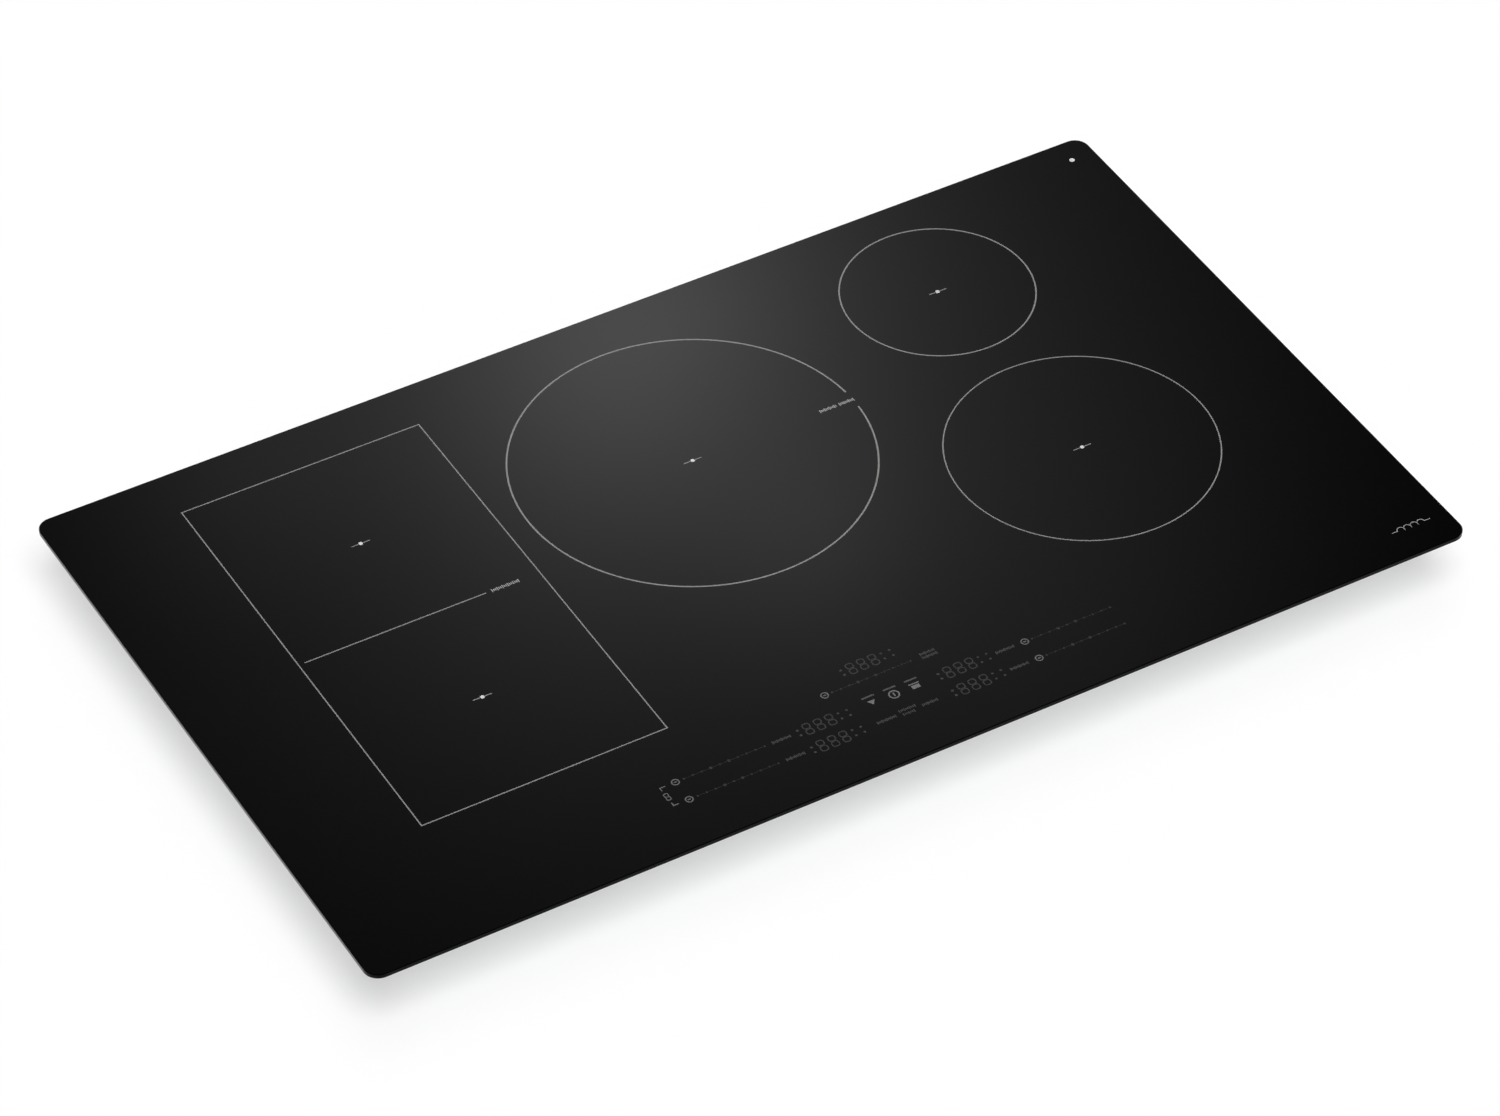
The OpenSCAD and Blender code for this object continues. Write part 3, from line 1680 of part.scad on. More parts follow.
glass_top();
glass_bond();
rim_seal();
rail_front();
rail_rear();
rail_left();
rail_right();
rail_screws();
base_pan();
clip_mounts();
clip_screws();
clip_front_left();
clip_rear_left();
clip_front_right();
clip_rear_right();
coil_plate();
standoffs();
plate_screws();
carrier_flex_rear();
carrier_flex_front();
carrier_centre();
carrier_rear_right();
carrier_front_right();
winding_flex_rear();
winding_flex_front();
winding_centre();
winding_rear_right();
winding_front_right();
ferrite_bars();
mica_sheets();
pan_sensors();
carrier_springs();
coil_leads();
coil_terminals();
board_tray_left();
board_tray_right();
power_board_left();
power_board_right();
heat_sink_left();
heat_sink_right();
power_transistors();
film_capacitors();
chokes();
board_screws();
filter_board();
fan_housing_left();
fan_housing_right();
fan_motor_left();
fan_motor_right();
fan_rotor_left();
fan_rotor_right();
touch_holder();
touch_board();
digit_displays();
touch_springs();
terminal_box();
terminal_lid();
terminal_block();
terminal_screws();
supply_leads();
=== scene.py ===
from math import cos, pi, radians, sin

import bpy
import numpy as np
from mathutils import Matrix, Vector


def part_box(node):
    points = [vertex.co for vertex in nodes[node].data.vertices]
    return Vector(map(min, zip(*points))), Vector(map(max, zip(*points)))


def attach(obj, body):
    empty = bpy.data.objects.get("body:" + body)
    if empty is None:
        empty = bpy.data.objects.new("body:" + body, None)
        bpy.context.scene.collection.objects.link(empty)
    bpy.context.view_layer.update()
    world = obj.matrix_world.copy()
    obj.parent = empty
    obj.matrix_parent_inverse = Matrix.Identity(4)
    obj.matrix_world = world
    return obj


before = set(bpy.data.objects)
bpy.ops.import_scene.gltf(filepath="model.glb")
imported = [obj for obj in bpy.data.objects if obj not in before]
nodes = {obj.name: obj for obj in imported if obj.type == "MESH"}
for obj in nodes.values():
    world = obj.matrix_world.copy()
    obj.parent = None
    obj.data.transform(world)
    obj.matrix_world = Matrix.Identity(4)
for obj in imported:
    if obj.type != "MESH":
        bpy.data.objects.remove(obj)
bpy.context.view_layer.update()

# Base pan: folded hot-dip galvanised sheet with four pressed feet, and a service panel of the same
# sheet spot-welded in behind the terminal box. Zinc freezes in flat crystals, so each patch of the
# surface has its own grey and its own gloss.


def tone(code):
    """Linear colour of a hex code: each channel with the display curve undone."""
    channel = np.array([int(code[i:i + 2], 16) for i in (0, 2, 4)]) / 255
    return (*np.where(channel > 0.04045, ((channel + 0.055) / 1.055) ** 2.4, channel / 12.92), 1.0)


class Field:
    """A socket of the finish being mixed; arithmetic on it adds nodes to that finish."""

    material = tree = shader = None

    def __init__(self, socket):
        self.socket = socket

    @staticmethod
    def node(kind, settings, sockets, output=0):
        """Add a node: settings first, then the values or links of its sockets."""
        made = Field.tree.nodes.new("ShaderNode" + kind)
        for name, value in settings.items():
            setattr(made, name, value)
        for name, value in sockets.items():
            if isinstance(value, Field):
                Field.tree.links.new(value.socket, made.inputs[name])
            else:
                made.inputs[name].default_value = value
        return Field(made.outputs[output])

    def maths(self, operation, *others):
        """Result of a Math node on this and its other inputs."""
        return Field.node("Math", {"operation": operation}, dict(enumerate((self, *others))))

    def __add__(self, other):
        return self.maths("ADD", other)

    def __sub__(self, other):
        return self.maths("SUBTRACT", other)

    def __mul__(self, other):
        return self.maths("MULTIPLY", other)

    def __truediv__(self, other):
        return self.maths("DIVIDE", other)

    def __rsub__(self, other):
        return Field.node("Math", {"operation": "SUBTRACT"}, {0: other, 1: self})

    def __rtruediv__(self, other):
        return Field.node("Math", {"operation": "DIVIDE"}, {0: other, 1: self})

    __radd__ = __add__

    def step(self, low, high):
        """Smooth rise from 0 at low to 1 at high."""
        smooth = {"interpolation_type": "SMOOTHSTEP"}
        return Field.node("MapRange", smooth, {0: self, 1: low, 2: high})

    def blend(self, low, high):
        """Colour that is low where this value is 0 and high where it is 1."""
        share, first, second, mixed = 0, 6, 7, 2  # the Mix node's sockets for colours
        return Field.node("Mix", {"data_type": "RGBA"}, {share: self, first: low, second: high}, mixed)

    def along(self, axis):
        """One component of a vector."""
        return Field.node("SeparateXYZ", {}, {0: self}, axis)

    def to(self, name):
        """Feed this into a socket of the shader."""
        Field.tree.links.new(self.socket, Field.shader.inputs[name])

    def relief(self, depth):
        """Raise the surface by this value times a depth in metres."""
        Field.node("Bump", {}, {"Strength": 1.0, "Distance": depth, "Height": self}).to("Normal")


def finish(name, even):
    """Start a finish from its even values and return its object coordinates."""
    Field.material = bpy.data.materials.new(name)
    Field.material.use_nodes = True
    Field.tree = Field.material.node_tree
    Field.shader = Field.tree.nodes["Principled BSDF"]
    for socket, value in even.items():
        Field.shader.inputs[socket].default_value = value
    return Field.node("TexCoord", {}, {}, "Object")


def dress(*names):
    """Put the finish just made on nodes of the frame."""
    for name in names:
        for slot in nodes[name].material_slots:
            slot.material = Field.material


def grain(place, scale, detail=3.0):
    """Fractal noise from 0 to 1, scale being its cells per metre."""
    return Field.node("TexNoise", {}, {"Vector": place, "Scale": scale, "Detail": detail})


def patches(place, scale):
    """One even random value for each cell of a Voronoi pattern."""
    middle = Field.node("TexVoronoi", {}, {"Vector": place, "Scale": scale}, "Position")
    return Field.node("TexWhiteNoise", {}, {"Vector": middle})


def stretched(place, scale):
    """Coordinates scaled on each axis, for a pattern that runs along one of them."""
    return Field.node("Mapping", {}, {"Vector": place, "Scale": scale})


place = finish("spangled zinc", {"Metallic": 0.7})
spangle = patches(place, 130.0)
cloud = grain(place, 12.0)
(spangle * 0.7 + cloud * 0.6 - 0.15).blend(tone("989da1"), tone("b4b9bc")).to("Base Color")
(spangle * 0.14 + cloud * 0.16 + 0.3).to("Roughness")
(spangle * 0.3 + grain(place, 420.0)).relief(0.00006)
dress("base_pan")

# Retaining clips: four bent leaves of spring steel that grip the worktop's cut-out, on fixed feet
# with a rolled edge. The strip is brushed along its length and a little blued by its tempering.
place = finish("tempered spring steel", {"Metallic": 1.0})
brushing = grain(stretched(place, (900.0, 900.0, 40.0)), 1.0)
blueing = grain(place, 30.0).step(0.4, 0.7)
blueing.blend(tone("a3a6a8"), tone("848a93")).to("Base Color")
(brushing * 0.25 + 0.2).to("Roughness")
brushing.relief(0.00002)
dress("clip_mounts", "clip_front_left", "clip_rear_left", "clip_front_right", "clip_rear_right")

# Screws of the clips, rails, coil plate and boards: rolled steel with bright zinc plating that
# turns slightly warm in places.
place = finish("bright zinc plating", {"Metallic": 1.0})
film = grain(place, 160.0)
film.step(0.35, 0.7).blend(tone("c9cbcc"), tone("bdb9a8")).to("Base Color")
(film * 0.3 + 0.15).to("Roughness")
film.relief(0.00001)
dress("clip_screws", "rail_screws", "plate_screws", "board_screws")

# Terminal box and its hinged lid: moulded flame-retardant plastic with a fine spark-eroded
# texture. The box stands on the pan's floor and the lid snaps under it.


def moulded(name, dark, light, texture=900.0):
    """Moulded plastic: two close tones in soft clouds under a fine eroded texture."""
    place = finish(name, {"IOR": 1.49})
    cloud = grain(place, 25.0)
    skin = grain(place, texture, 2.0)
    cloud.step(0.3, 0.7).blend(tone(dark), tone(light)).to("Base Color")
    (skin * 0.25 + 0.4).to("Roughness")
    skin.relief(0.00008)


moulded("terminal black", "232427", "2b2c30")
dress("terminal_box", "terminal_lid")

# Terminal block: a white nylon body with five poles, fixed inside its box. Its clamping screws and
# the coils' terminals are turned from brass, and the tool leaves fine rings around them.
moulded("block white", "d9d6cc", "e8e6de", 500.0)
dress("terminal_block")

place = finish("turned brass", {"Metallic": 1.0})
turning = grain(stretched(place, (200.0, 200.0, 3000.0)), 1.0)
turning.blend(tone("b8924a"), tone("e0c078")).to("Base Color")
(turning * 0.25 + 0.2).to("Roughness")
turning.relief(0.00001)
dress("terminal_screws", "coil_terminals")

# Supply wires between the block and the filter board: stranded copper in brown vinyl, extruded
# with a slightly matt skin.
place = finish("vinyl sleeve", {"IOR": 1.52})
slip = grain(place, 300.0)
slip.blend(tone("4a2c1c"), tone("6b4530")).to("Base Color")
(slip * 0.2 + 0.35).to("Roughness")
slip.relief(0.00003)
dress("supply_leads")

# Board trays: moulded from pale flame-retardant plastic, one in each bay of the pan. Each carries
# a power board clear of the sheet metal.
moulded("tray plastic", "c4c3bd", "d3d2cc", 600.0)
dress("board_tray_left", "board_tray_right")

# Circuit boards: glass-fibre laminate under green solder mask. Copper tracks show through it as
# paler nested lines with square corners, with wide copper islands between some of them.
place = finish("solder mask", {"IOR": 1.5})
squares, layout = {"distance": "CHEBYCHEV"}, {"Vector": place, "Scale": 26.0}
nested = Field.node("TexVoronoi", squares, layout, "Distance") * 11.0
tracks = (nested.maths("FRACT") - 0.5).maths("ABSOLUTE").step(0.3, 0.4)
cell = Field.node("TexVoronoi", squares, layout, "Position")
island = Field.node("TexWhiteNoise", {}, {"Vector": cell}).step(0.8, 0.82)
copper = tracks.maths("MAXIMUM", island)
weave = grain(place, 1400.0, 1.0)
(copper * 0.7 + weave * 0.25).blend(tone("12402a"), tone("2f7a4b")).to("Base Color")
(weave * 0.15 + 0.22).to("Roughness")
(copper + weave * 0.1).relief(0.00005)
dress("power_board_left", "power_board_right", "filter_board", "touch_board")

# Heat sinks: extruded aluminium with upright fins, on four feet in line with each fan's outlet.
# The press leaves streaks along them.
place = finish("extruded aluminium", {"Metallic": 0.75})
streak = grain(stretched(place, (900.0, 12.0, 900.0)), 1.0)
streak.blend(tone("9b9ea1"), tone("c9cccf")).to("Base Color")
(streak * 0.3 + 0.25).to("Roughness")
streak.relief(0.00003)
dress("heat_sink_left", "heat_sink_right")

# Power transistors: switches in flat epoxy bodies, held between each power board and the base of
# its heat sink. The black epoxy takes a fine texture from its mould.
moulded("epoxy black", "161617", "202022", 1600.0)
dress("power_transistors")

# Film capacitors: wound film potted in upright yellow boxes, in a row beside each heat sink and on
# the filter board. The boxes are moulded and keep faint flow marks.
place = finish("capacitor boxes", {"IOR": 1.5})
flow = grain(stretched(place, (60.0, 60.0, 400.0)), 1.0)
flow.blend(tone("b98a2c"), tone("d9ab48")).to("Base Color")
(flow * 0.2 + 0.25).to("Roughness")
flow.relief(0.00003)
dress("film_capacitors")

# Chokes: iron-powder rings laid flat on the power boards and the filter board, wound with
# enamelled copper wire, turn beside turn.
place = finish("enamelled winding", {"Metallic": 0.85, "Coat Weight": 0.6, "Coat Roughness": 0.15})
turns = Field.node("TexWave", {"bands_direction": "DIAGONAL"},
                   {"Vector": place, "Scale": 160.0, "Distortion": 1.5, "Detail": 1.0}, "Fac")
varnish = grain(place, 120.0)
(turns * 0.6 + varnish * 0.4).blend(tone("6e3413"), tone("c27a3c")).to("Base Color")
(varnish * 0.2 + 0.25).to("Roughness")
turns.relief(0.0003)
dress("chokes")

# Fans: one moulded housing in each bay, around a ring-shaped rotor that hangs on a small motor. The
# motor is a stack of pressed steel plates, whose edges show as fine level lines.
moulded("fan plastic", "2c2e31", "36383b", 700.0)
dress("fan_housing_left", "fan_housing_right")
moulded("rotor plastic", "1d1e20", "292a2d", 500.0)
dress("fan_rotor_left", "fan_rotor_right")
place = finish("stacked motor plates", {"Metallic": 1.0})
plates = Field.node("TexWave", {"bands_direction": "Z"}, {"Vector": place, "Scale": 320.0}, "Fac")
plates.blend(tone("5d6063"), tone("9a9da0")).to("Base Color")
(plates * 0.2 + 0.35).to("Roughness")
plates.relief(0.0001)
dress("fan_motor_left", "fan_motor_right")

# Coil plate: mill-finish aluminium sheet on turned standoffs. It carries the coils and screens
# the boards, and the rolling left long streaks along its width.
place = finish("rolled aluminium", {"Metallic": 0.6})
rolling = grain(stretched(place, (8.0, 700.0, 700.0)), 1.0)
bloom = grain(place, 14.0)
(rolling * 0.7 + bloom * 0.3).blend(tone("a9adb0"), tone("d6d9db")).to("Base Color")
(rolling * 0.25 + bloom * 0.15 + 0.2).to("Roughness")
rolling.relief(0.00002)
dress("coil_plate")

# Rails and standoffs: rails bonded under the glass, to which the pan is screwed, and posts that
# carry the coil plate. Both are plain zinc-plated steel, with a dull bloom in soft patches.
place = finish("plated steel", {"Metallic": 0.85})
bloom = grain(place, 35.0)
bloom.step(0.3, 0.7).blend(tone("9fa2a4"), tone("c2c5c7")).to("Base Color")
(bloom * 0.3 + 0.25).to("Roughness")
grain(place, 700.0).relief(0.00003)
dress("rail_front", "rail_rear", "rail_left", "rail_right", "standoffs")

# Coil carriers: glass-filled nylon frames pressed up against the glass by bow springs. The cut
# fibres show as pale flecks in the dark plastic.
place = finish("glass-filled nylon", {"IOR": 1.5})
fibres = grain(stretched(place, (1500.0, 500.0, 900.0)), 1.0).step(0.58, 0.7)
fibres.blend(tone("26282b"), tone("4a4d50")).to("Base Color")
(fibres * 0.15 + 0.45).to("Roughness")
fibres.relief(0.00003)
dress("carrier_flex_rear", "carrier_flex_front", "carrier_centre", "carrier_rear_right",
      "carrier_front_right")
place = finish("blank spring strip", {"Metallic": 1.0})
brushing = grain(stretched(place, (60.0, 900.0, 900.0)), 1.0)
brushing.blend(tone("a9abad"), tone("c8cacc")).to("Base Color")
(brushing * 0.25 + 0.18).to("Roughness")
brushing.relief(0.00002)
dress("carrier_springs", "touch_springs")

# Windings: varnished litz wire laid turn beside turn around the middle of each carrier, in rings on
# the round coils and rounded squares on the linked zone's two. Fine strands run along each turn.
strand_pitch = 0.0011
circle, squircle = 2.0, 4.0
for name, power in (("winding_flex_rear", squircle), ("winding_flex_front", squircle),
                    ("winding_centre", circle), ("winding_rear_right", circle),
                    ("winding_front_right", circle)):
    low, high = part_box(name)
    place = finish("litz of " + name, {"Metallic": 0.7, "Coat Weight": 0.5, "Coat Roughness": 0.2})
    reach = [(place.along(i) - (low[i] + high[i]) / 2).maths("ABSOLUTE") / ((high[i] - low[i]) / 2)
             for i in (0, 1)]
    # A strand's number is the superellipse radius (|x|^p + |y|^p)^(1/p) in strand pitches.
    powers = reach[0].maths("POWER", power) + reach[1].maths("POWER", power)
    radius = powers.maths("POWER", 1 / power)
    strand = (radius * ((high[0] - low[0]) * pi / strand_pitch)).maths("COSINE") * 0.5 + 0.5
    varnish = grain(place, 260.0)
    (strand * 0.35 + varnish * 0.65).blend(tone("7f441f"), tone("cf8a55")).to("Base Color")
    (varnish * 0.25 + 0.28).to("Roughness")
    (strand + varnish * 0.25).relief(0.0001)
    dress(name)

# Ferrite bars: set in pockets of the carriers under the windings, to keep the field off the plate.
# They are sintered and ground, dark grey with a dry, pitted skin.
place = finish("sintered ferrite", {"IOR": 2.1})
pits = grain(place, 800.0)
pits.blend(tone("303134"), tone("48494c")).to("Base Color")
(pits * 0.25 + 0.45).to("Roughness")
pits.relief(0.00008)
dress("ferrite_bars")

# Mica sheets: laid between the windings and the glass, against its heat. Split flakes are pressed
# into a board, in which each flake keeps its own pearly patch.
place = finish("mica board", {"IOR": 1.56, "Coat Weight": 0.3, "Coat Roughness": 0.3})
flake = patches(place, 180.0)
pearl = grain(place, 50.0)
(flake * 0.5 + pearl * 0.5).blend(tone("a2946c"), tone("cfc4a0")).to("Base Color")
(flake * 0.3 + 0.3).to("Roughness")
flake.relief(0.00003)
dress("mica_sheets")

# Pan sensors: one at the middle of each coil, a glazed white ceramic cap that a spring holds up
# against the glass.
place = finish("glazed ceramic", {"IOR": 1.6})
glaze = grain(place, 400.0)
glaze.blend(tone("dcd8ce"), tone("f0eee8")).to("Base Color")
(glaze * 0.25 + 0.15).to("Roughness")
glaze.relief(0.00002)
dress("pan_sensors")

# Coil leads: pairs of wires from each winding down to its board, in sleeves woven of glass fibre,
# whose braid stands out in small bumps.
place = finish("woven sleeve", {"IOR": 1.45})
braid = Field.node("TexVoronoi", {}, {"Vector": place, "Scale": 900.0}, "Distance")
braid.blend(tone("a69f8a"), tone("d8d2c2")).to("Base Color")
(braid * 0.2 + 0.6).to("Roughness")
(1 - braid).relief(0.0003)
dress("coil_leads")

# Touch module: a shallow moulded holder with its board, three-digit displays that stay dark until
# they are lit, and hollow springs that carry each key's field up to the glass.
moulded("holder plastic", "303134", "3a3b3f", 700.0)
dress("touch_holder")
place = finish("unlit display", {"IOR": 1.5, "Coat Weight": 1.0, "Coat Roughness": 0.05})
haze = grain(place, 220.0)
haze.blend(tone("241413"), tone("33201d")).to("Base Color")
(haze * 0.15 + 0.2).to("Roughness")
haze.relief(0.00001)
dress("digit_displays")

# Seal and bond: a closed-cell foam strip that lies on the worktop, and the silicone bead that
# holds the glass on its rails.
place = finish("foam strip", {"IOR": 1.4})
pores = Field.node("TexVoronoi", {}, {"Vector": place, "Scale": 1100.0}, "Distance")
pores.step(0.1, 0.6).blend(tone("1b1b1d"), tone("38383b")).to("Base Color")
(pores * 0.15 + 0.75).to("Roughness")
(1 - pores).relief(0.0002)
dress("rim_seal")
place = finish("cured silicone", {"IOR": 1.41})
ripple = grain(place, 120.0)
ripple.blend(tone("7f7f7a"), tone("949490")).to("Base Color")
(ripple * 0.2 + 0.35).to("Roughness")
ripple.relief(0.00015)
dress("glass_bond")

# Glass top: one pane of black glass-ceramic, polished on top, with a ground rim. The polish leaves
# hardly any texture. The rim is duller, and it is made a dark metal as painted shade on the edge.
glass_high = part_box("glass_top")[1]
glass_corner, rim_bevel = 0.012, 0.0006
place = finish("black glass-ceramic", {"IOR": 1.5})
# Distance inside the rounded outline: corner radius less the length of max(|p| - flat, 0)
past = [(place.along(i).maths("ABSOLUTE") - (glass_high[i] - glass_corner)).maths("MAXIMUM", 0.0)
        for i in (0, 1)]
inside = glass_corner - (past[0] * past[0] + past[1] * past[1]).maths("SQRT")
rim = 1 - inside.step(rim_bevel * 0.7, rim_bevel * 1.3)
wipe = grain(stretched(place, (5.0, 9.0, 5.0)), 1.0)
depth = grain(place, 260.0, 1.0)
# Painted shade: on the rim and edge faces the glass is a near-black metal, so the edge reflects little
# of the white floor.
(rim * 0.6 + depth * 0.08).blend(tone("000000"), tone("161718")).to("Base Color")
rim.to("Metallic")
(wipe * 0.025 + rim * 0.16 + 0.03).to("Roughness")
dress("glass_top")

# Prints: ceramic ink screened on the glass and fired into it, thin enough not to be felt. The
# zones are drawn as fine outlines around the coils under the glass.
mm = 0.001
print_z = glass_high[2] + 0.04 * mm


def stroke(path, width, closed=False):
    """Band along a path: points half a width out along the mitre, (n1 + n2) / (1 + n1.n2)."""
    path = np.asarray(path, float)
    edge = np.roll(path, -1, 0) - path
    if not closed:
        edge[-1] = edge[-2]
    after = np.stack([-edge[:, 1], edge[:, 0]], 1) / np.linalg.norm(edge, axis=1)[:, None]
    before = np.roll(after, 1, 0)
    if not closed:
        before[0] = after[0]
    mitre = (after + before) / (1 + (after * before).sum(1))[:, None] * width / 2
    count = len(path)
    i = np.arange(count if closed else count - 1)
    j = (i + 1) % count
    return np.concatenate([path - mitre, path + mitre]), np.stack([i, j, j + count, i + count], 1)


def loop(x, y, w, h, width, power=2.0, points=48):
    """Closed band on a superellipse: (w/2 |cos t|^(2/p), h/2 |sin t|^(2/p)) with their signs."""
    t = np.linspace(0, 2 * pi, points, endpoint=False)
    c, s = np.cos(t), np.sin(t)
    path = np.stack([x + w / 2 * np.sign(c) * np.abs(c) ** (2 / power),
                     y + h / 2 * np.sign(s) * np.abs(s) ** (2 / power)], 1)
    return stroke(path, width, True)


def dot(x, y, w, h, points=24):
    """Filled ellipse, a fan of triangles about its middle."""
    t = np.linspace(0, 2 * pi, points, endpoint=False)
    rim = np.stack([x + w / 2 * np.cos(t), y + h / 2 * np.sin(t)], 1)
    i = np.arange(points)
    return np.vstack([[[x, y]], rim]), np.stack([0 * i, 1 + i, 1 + (i + 1) % points], 1)


def bar(x, y, w, h):
    """Filled rectangle, a level stroke."""
    return stroke([[x - w / 2, y], [x + w / 2, y]], h)


def wedge(x, y, w, h):
    """Filled triangle that points to the front."""
    corners = [[x - w / 2, y + h / 2], [x, y - h / 2], [x + w / 2, y + h / 2]]
    return np.array(corners), np.array([[0, 1, 2]])


def ticks(x, y, w, h, count):
    """Scale of thin upright lines across a width, each third one taller."""
    thin, short = 0.8, 0.65
    spots = np.linspace(x - w / 2, x + w / 2, count)
    return [bar(at, y, thin, h * (short if i % 3 else 1.0)) for i, at in enumerate(spots)]


def printed(name, marks, faint, bright):
    """Lay marks given in millimetres on the glass as one thin sheet with its own ink."""
    starts = np.cumsum([0] + [len(spots) for spots, _ in marks])
    flat = np.concatenate([spots for spots, _ in marks]) * mm
    faces = [face for start, (_, cells) in zip(starts, marks) for face in (cells + start).tolist()]
    mesh = bpy.data.meshes.new(name)
    mesh.from_pydata(np.column_stack([flat, np.full(len(flat), print_z)]).tolist(), [], faces)
    piece = bpy.data.objects.new(name, mesh)
    bpy.context.scene.collection.objects.link(piece)
    place = finish("ink of " + name, {"IOR": 1.5, "Coat Weight": 0.5, "Coat Roughness": 0.1})
    frit = grain(place, 900.0)
    frit.step(0.25, 0.75).blend(tone(faint), tone(bright)).to("Base Color")
    (frit * 0.2 + 0.3).to("Roughness")
    mesh.materials.append(Field.material)
    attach(piece, "cooktop")


def middle(name):
    """Middle of a node seen from above, in millimetres."""
    low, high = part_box(name)
    return (low[0] + high[0]) / 2 / mm, (low[1] + high[1]) / 2 / mm


centre_x, centre_y = middle("carrier_centre")
rear_x, rear_y = middle("carrier_rear_right")
front_x, front_y = middle("carrier_front_right")
flex_x = middle("carrier_flex_rear")[0]
flex_y = (middle("carrier_flex_rear")[1] + middle("carrier_flex_front")[1]) / 2
centre_ring_r, rear_ring_w, front_ring_w = 140.2, 152.8, 210.2
flex_w, flex_d, divider_inset, divider_end = 200.0, 382.6, 5.0, 55.0
centre_line_w, rear_line_w, front_line_w, flex_line_w = 1.3, 1.15, 1.0, 0.95
flex_corners = np.array([[-1, -1], [1, -1], [1, 1], [-1, 1]]) * [flex_w / 2, flex_d / 2]
# The centre ring is open at its right side, where its scale marks cross it.
open_from, open_to = 356.4, 4.0
ring_turn = np.linspace(radians(open_to), radians(open_from), 180)
centre_ring = np.stack([centre_x + centre_ring_r * np.cos(ring_turn),
                        centre_y + centre_ring_r * np.sin(ring_turn)], 1)
printed("zone_lines", [
    stroke(centre_ring, centre_line_w),
    loop(rear_x, rear_y, rear_ring_w, rear_ring_w, rear_line_w, points=144),
    loop(front_x, front_y, front_ring_w, front_ring_w, front_line_w, points=160),
    stroke(flex_corners + [flex_x, flex_y], flex_line_w, True),
    stroke([[flex_x - flex_w / 2 + divider_inset, flex_y], [flex_x + divider_end, flex_y]],
           flex_line_w),
], "7a7a78", "939391")

# Middle marks of the five zones, a dot between two short dashes, and the corner dot at the rear
# that shows the fitter which way round the glass goes.
flex_mark_rear, flex_mark_front = 130.0, -60.5
mark_w, dash_off, dash_w, dash_h = 3.4, 4.6, 6.4, 0.8
corner_dot_x, corner_dot_y, corner_dot_w = 439.0, 249.3, 4.4
marks, dashes = [], []
for x, y in ((flex_x, flex_mark_rear), (flex_x, flex_mark_front), (centre_x, centre_y),
             (rear_x, rear_y), (front_x, front_y)):
    marks += [dot(x, y, mark_w, mark_w)]
    dashes += [bar(x + side * dash_off, y, dash_w, dash_h) for side in (-1, 1)]
marks += [dot(corner_dot_x, corner_dot_y, corner_dot_w, corner_dot_w)]
printed("middle_marks", marks, "c4c4c2", "e4e4e2")
printed("middle_dashes", dashes, "787876", "949492")

# Scale marks where the centre ring opens and at the end of the linked zone's divider, and a coil
# symbol in the front corner, which says how the top heats.
symbol_x, symbol_y, symbol_line_w = 418.0, -244.0, 0.6
bow_r, bow_count, lead_w = 3.0, 4, 5.0
half_turn = np.linspace(0, pi, 13)
bows = [np.stack([symbol_x + bow_r * (2 * k - np.cos(half_turn)),
                  symbol_y + bow_r * np.sin(half_turn)], 1)[:-1] for k in range(bow_count)]
symbol_end = symbol_x + bow_r * (2 * bow_count - 1)
coil_line = np.concatenate([[[symbol_x - bow_r - lead_w, symbol_y]], *bows,
                            [[symbol_end, symbol_y], [symbol_end + lead_w, symbol_y]]])
side_tick_h = 3.6
printed("side_marks", [
    *ticks(centre_x + 118.4, centre_y, 13.6, side_tick_h, 11),
    *ticks(centre_x + 134.6, centre_y, 12.0, side_tick_h, 10),
    *ticks(flex_x + 71.0, flex_y, 22.0, side_tick_h, 16),
    stroke(coil_line, symbol_line_w),
], "8d8d8b", "ababa9")

# Key symbols: the main switch, the lock and the timer in the middle, and at the left end of each
# slide a ring for its zone, with a bracket that links the two zones at the left.
row_rear, row_front, slide_row = -207.1, -227.2, -183.1
key_left, key_right, key_middle, key_w = -182.0, 111.4, -44.2, 5.5
keys = []
for x, row in ((key_left, row_rear), (key_left, row_front), (key_right, row_rear),
               (key_right, row_front), (key_middle, slide_row)):
    keys += [loop(x, row, key_w, key_w, 1.0), bar(x, row, 2.4, 1.1)]
bracket_x, bracket_w, bracket_h = -194.8, 4.4, 3.4
for row, inward in ((row_rear, -1), (row_front, 1)):
    keys += [stroke([[bracket_x + bracket_w, row], [bracket_x, row],
                     [bracket_x, row + inward * bracket_h]], 0.9)]
keys += [loop(bracket_x + 0.4, y, 3.2, 3.4, 0.8, 3.0) for y in (-215.5, -219.1)]
printed("zone_keys", keys, "545453", "6e6e6d")

symbol_row, symbol_pitch, switch_w, line_w = -207.3, 18.0, 7.6, 1.1
printed("main_keys", [
    loop(0.0, symbol_row, switch_w, switch_w, line_w),
    bar(0.0, symbol_row, line_w, 3.8),
    wedge(-symbol_pitch, symbol_row + 0.7, 6.6, 4.6),
    bar(symbol_pitch, symbol_row + 2.7, 8.6, line_w),
    bar(symbol_pitch, symbol_row - 0.7, 6.6, 3.6),
], "616160", "797978")
printed("key_bars", [bar(x, -200.0, 10.4, 1.5) for x in (-18.1, 0.0, 18.0)], "424241", "545453")

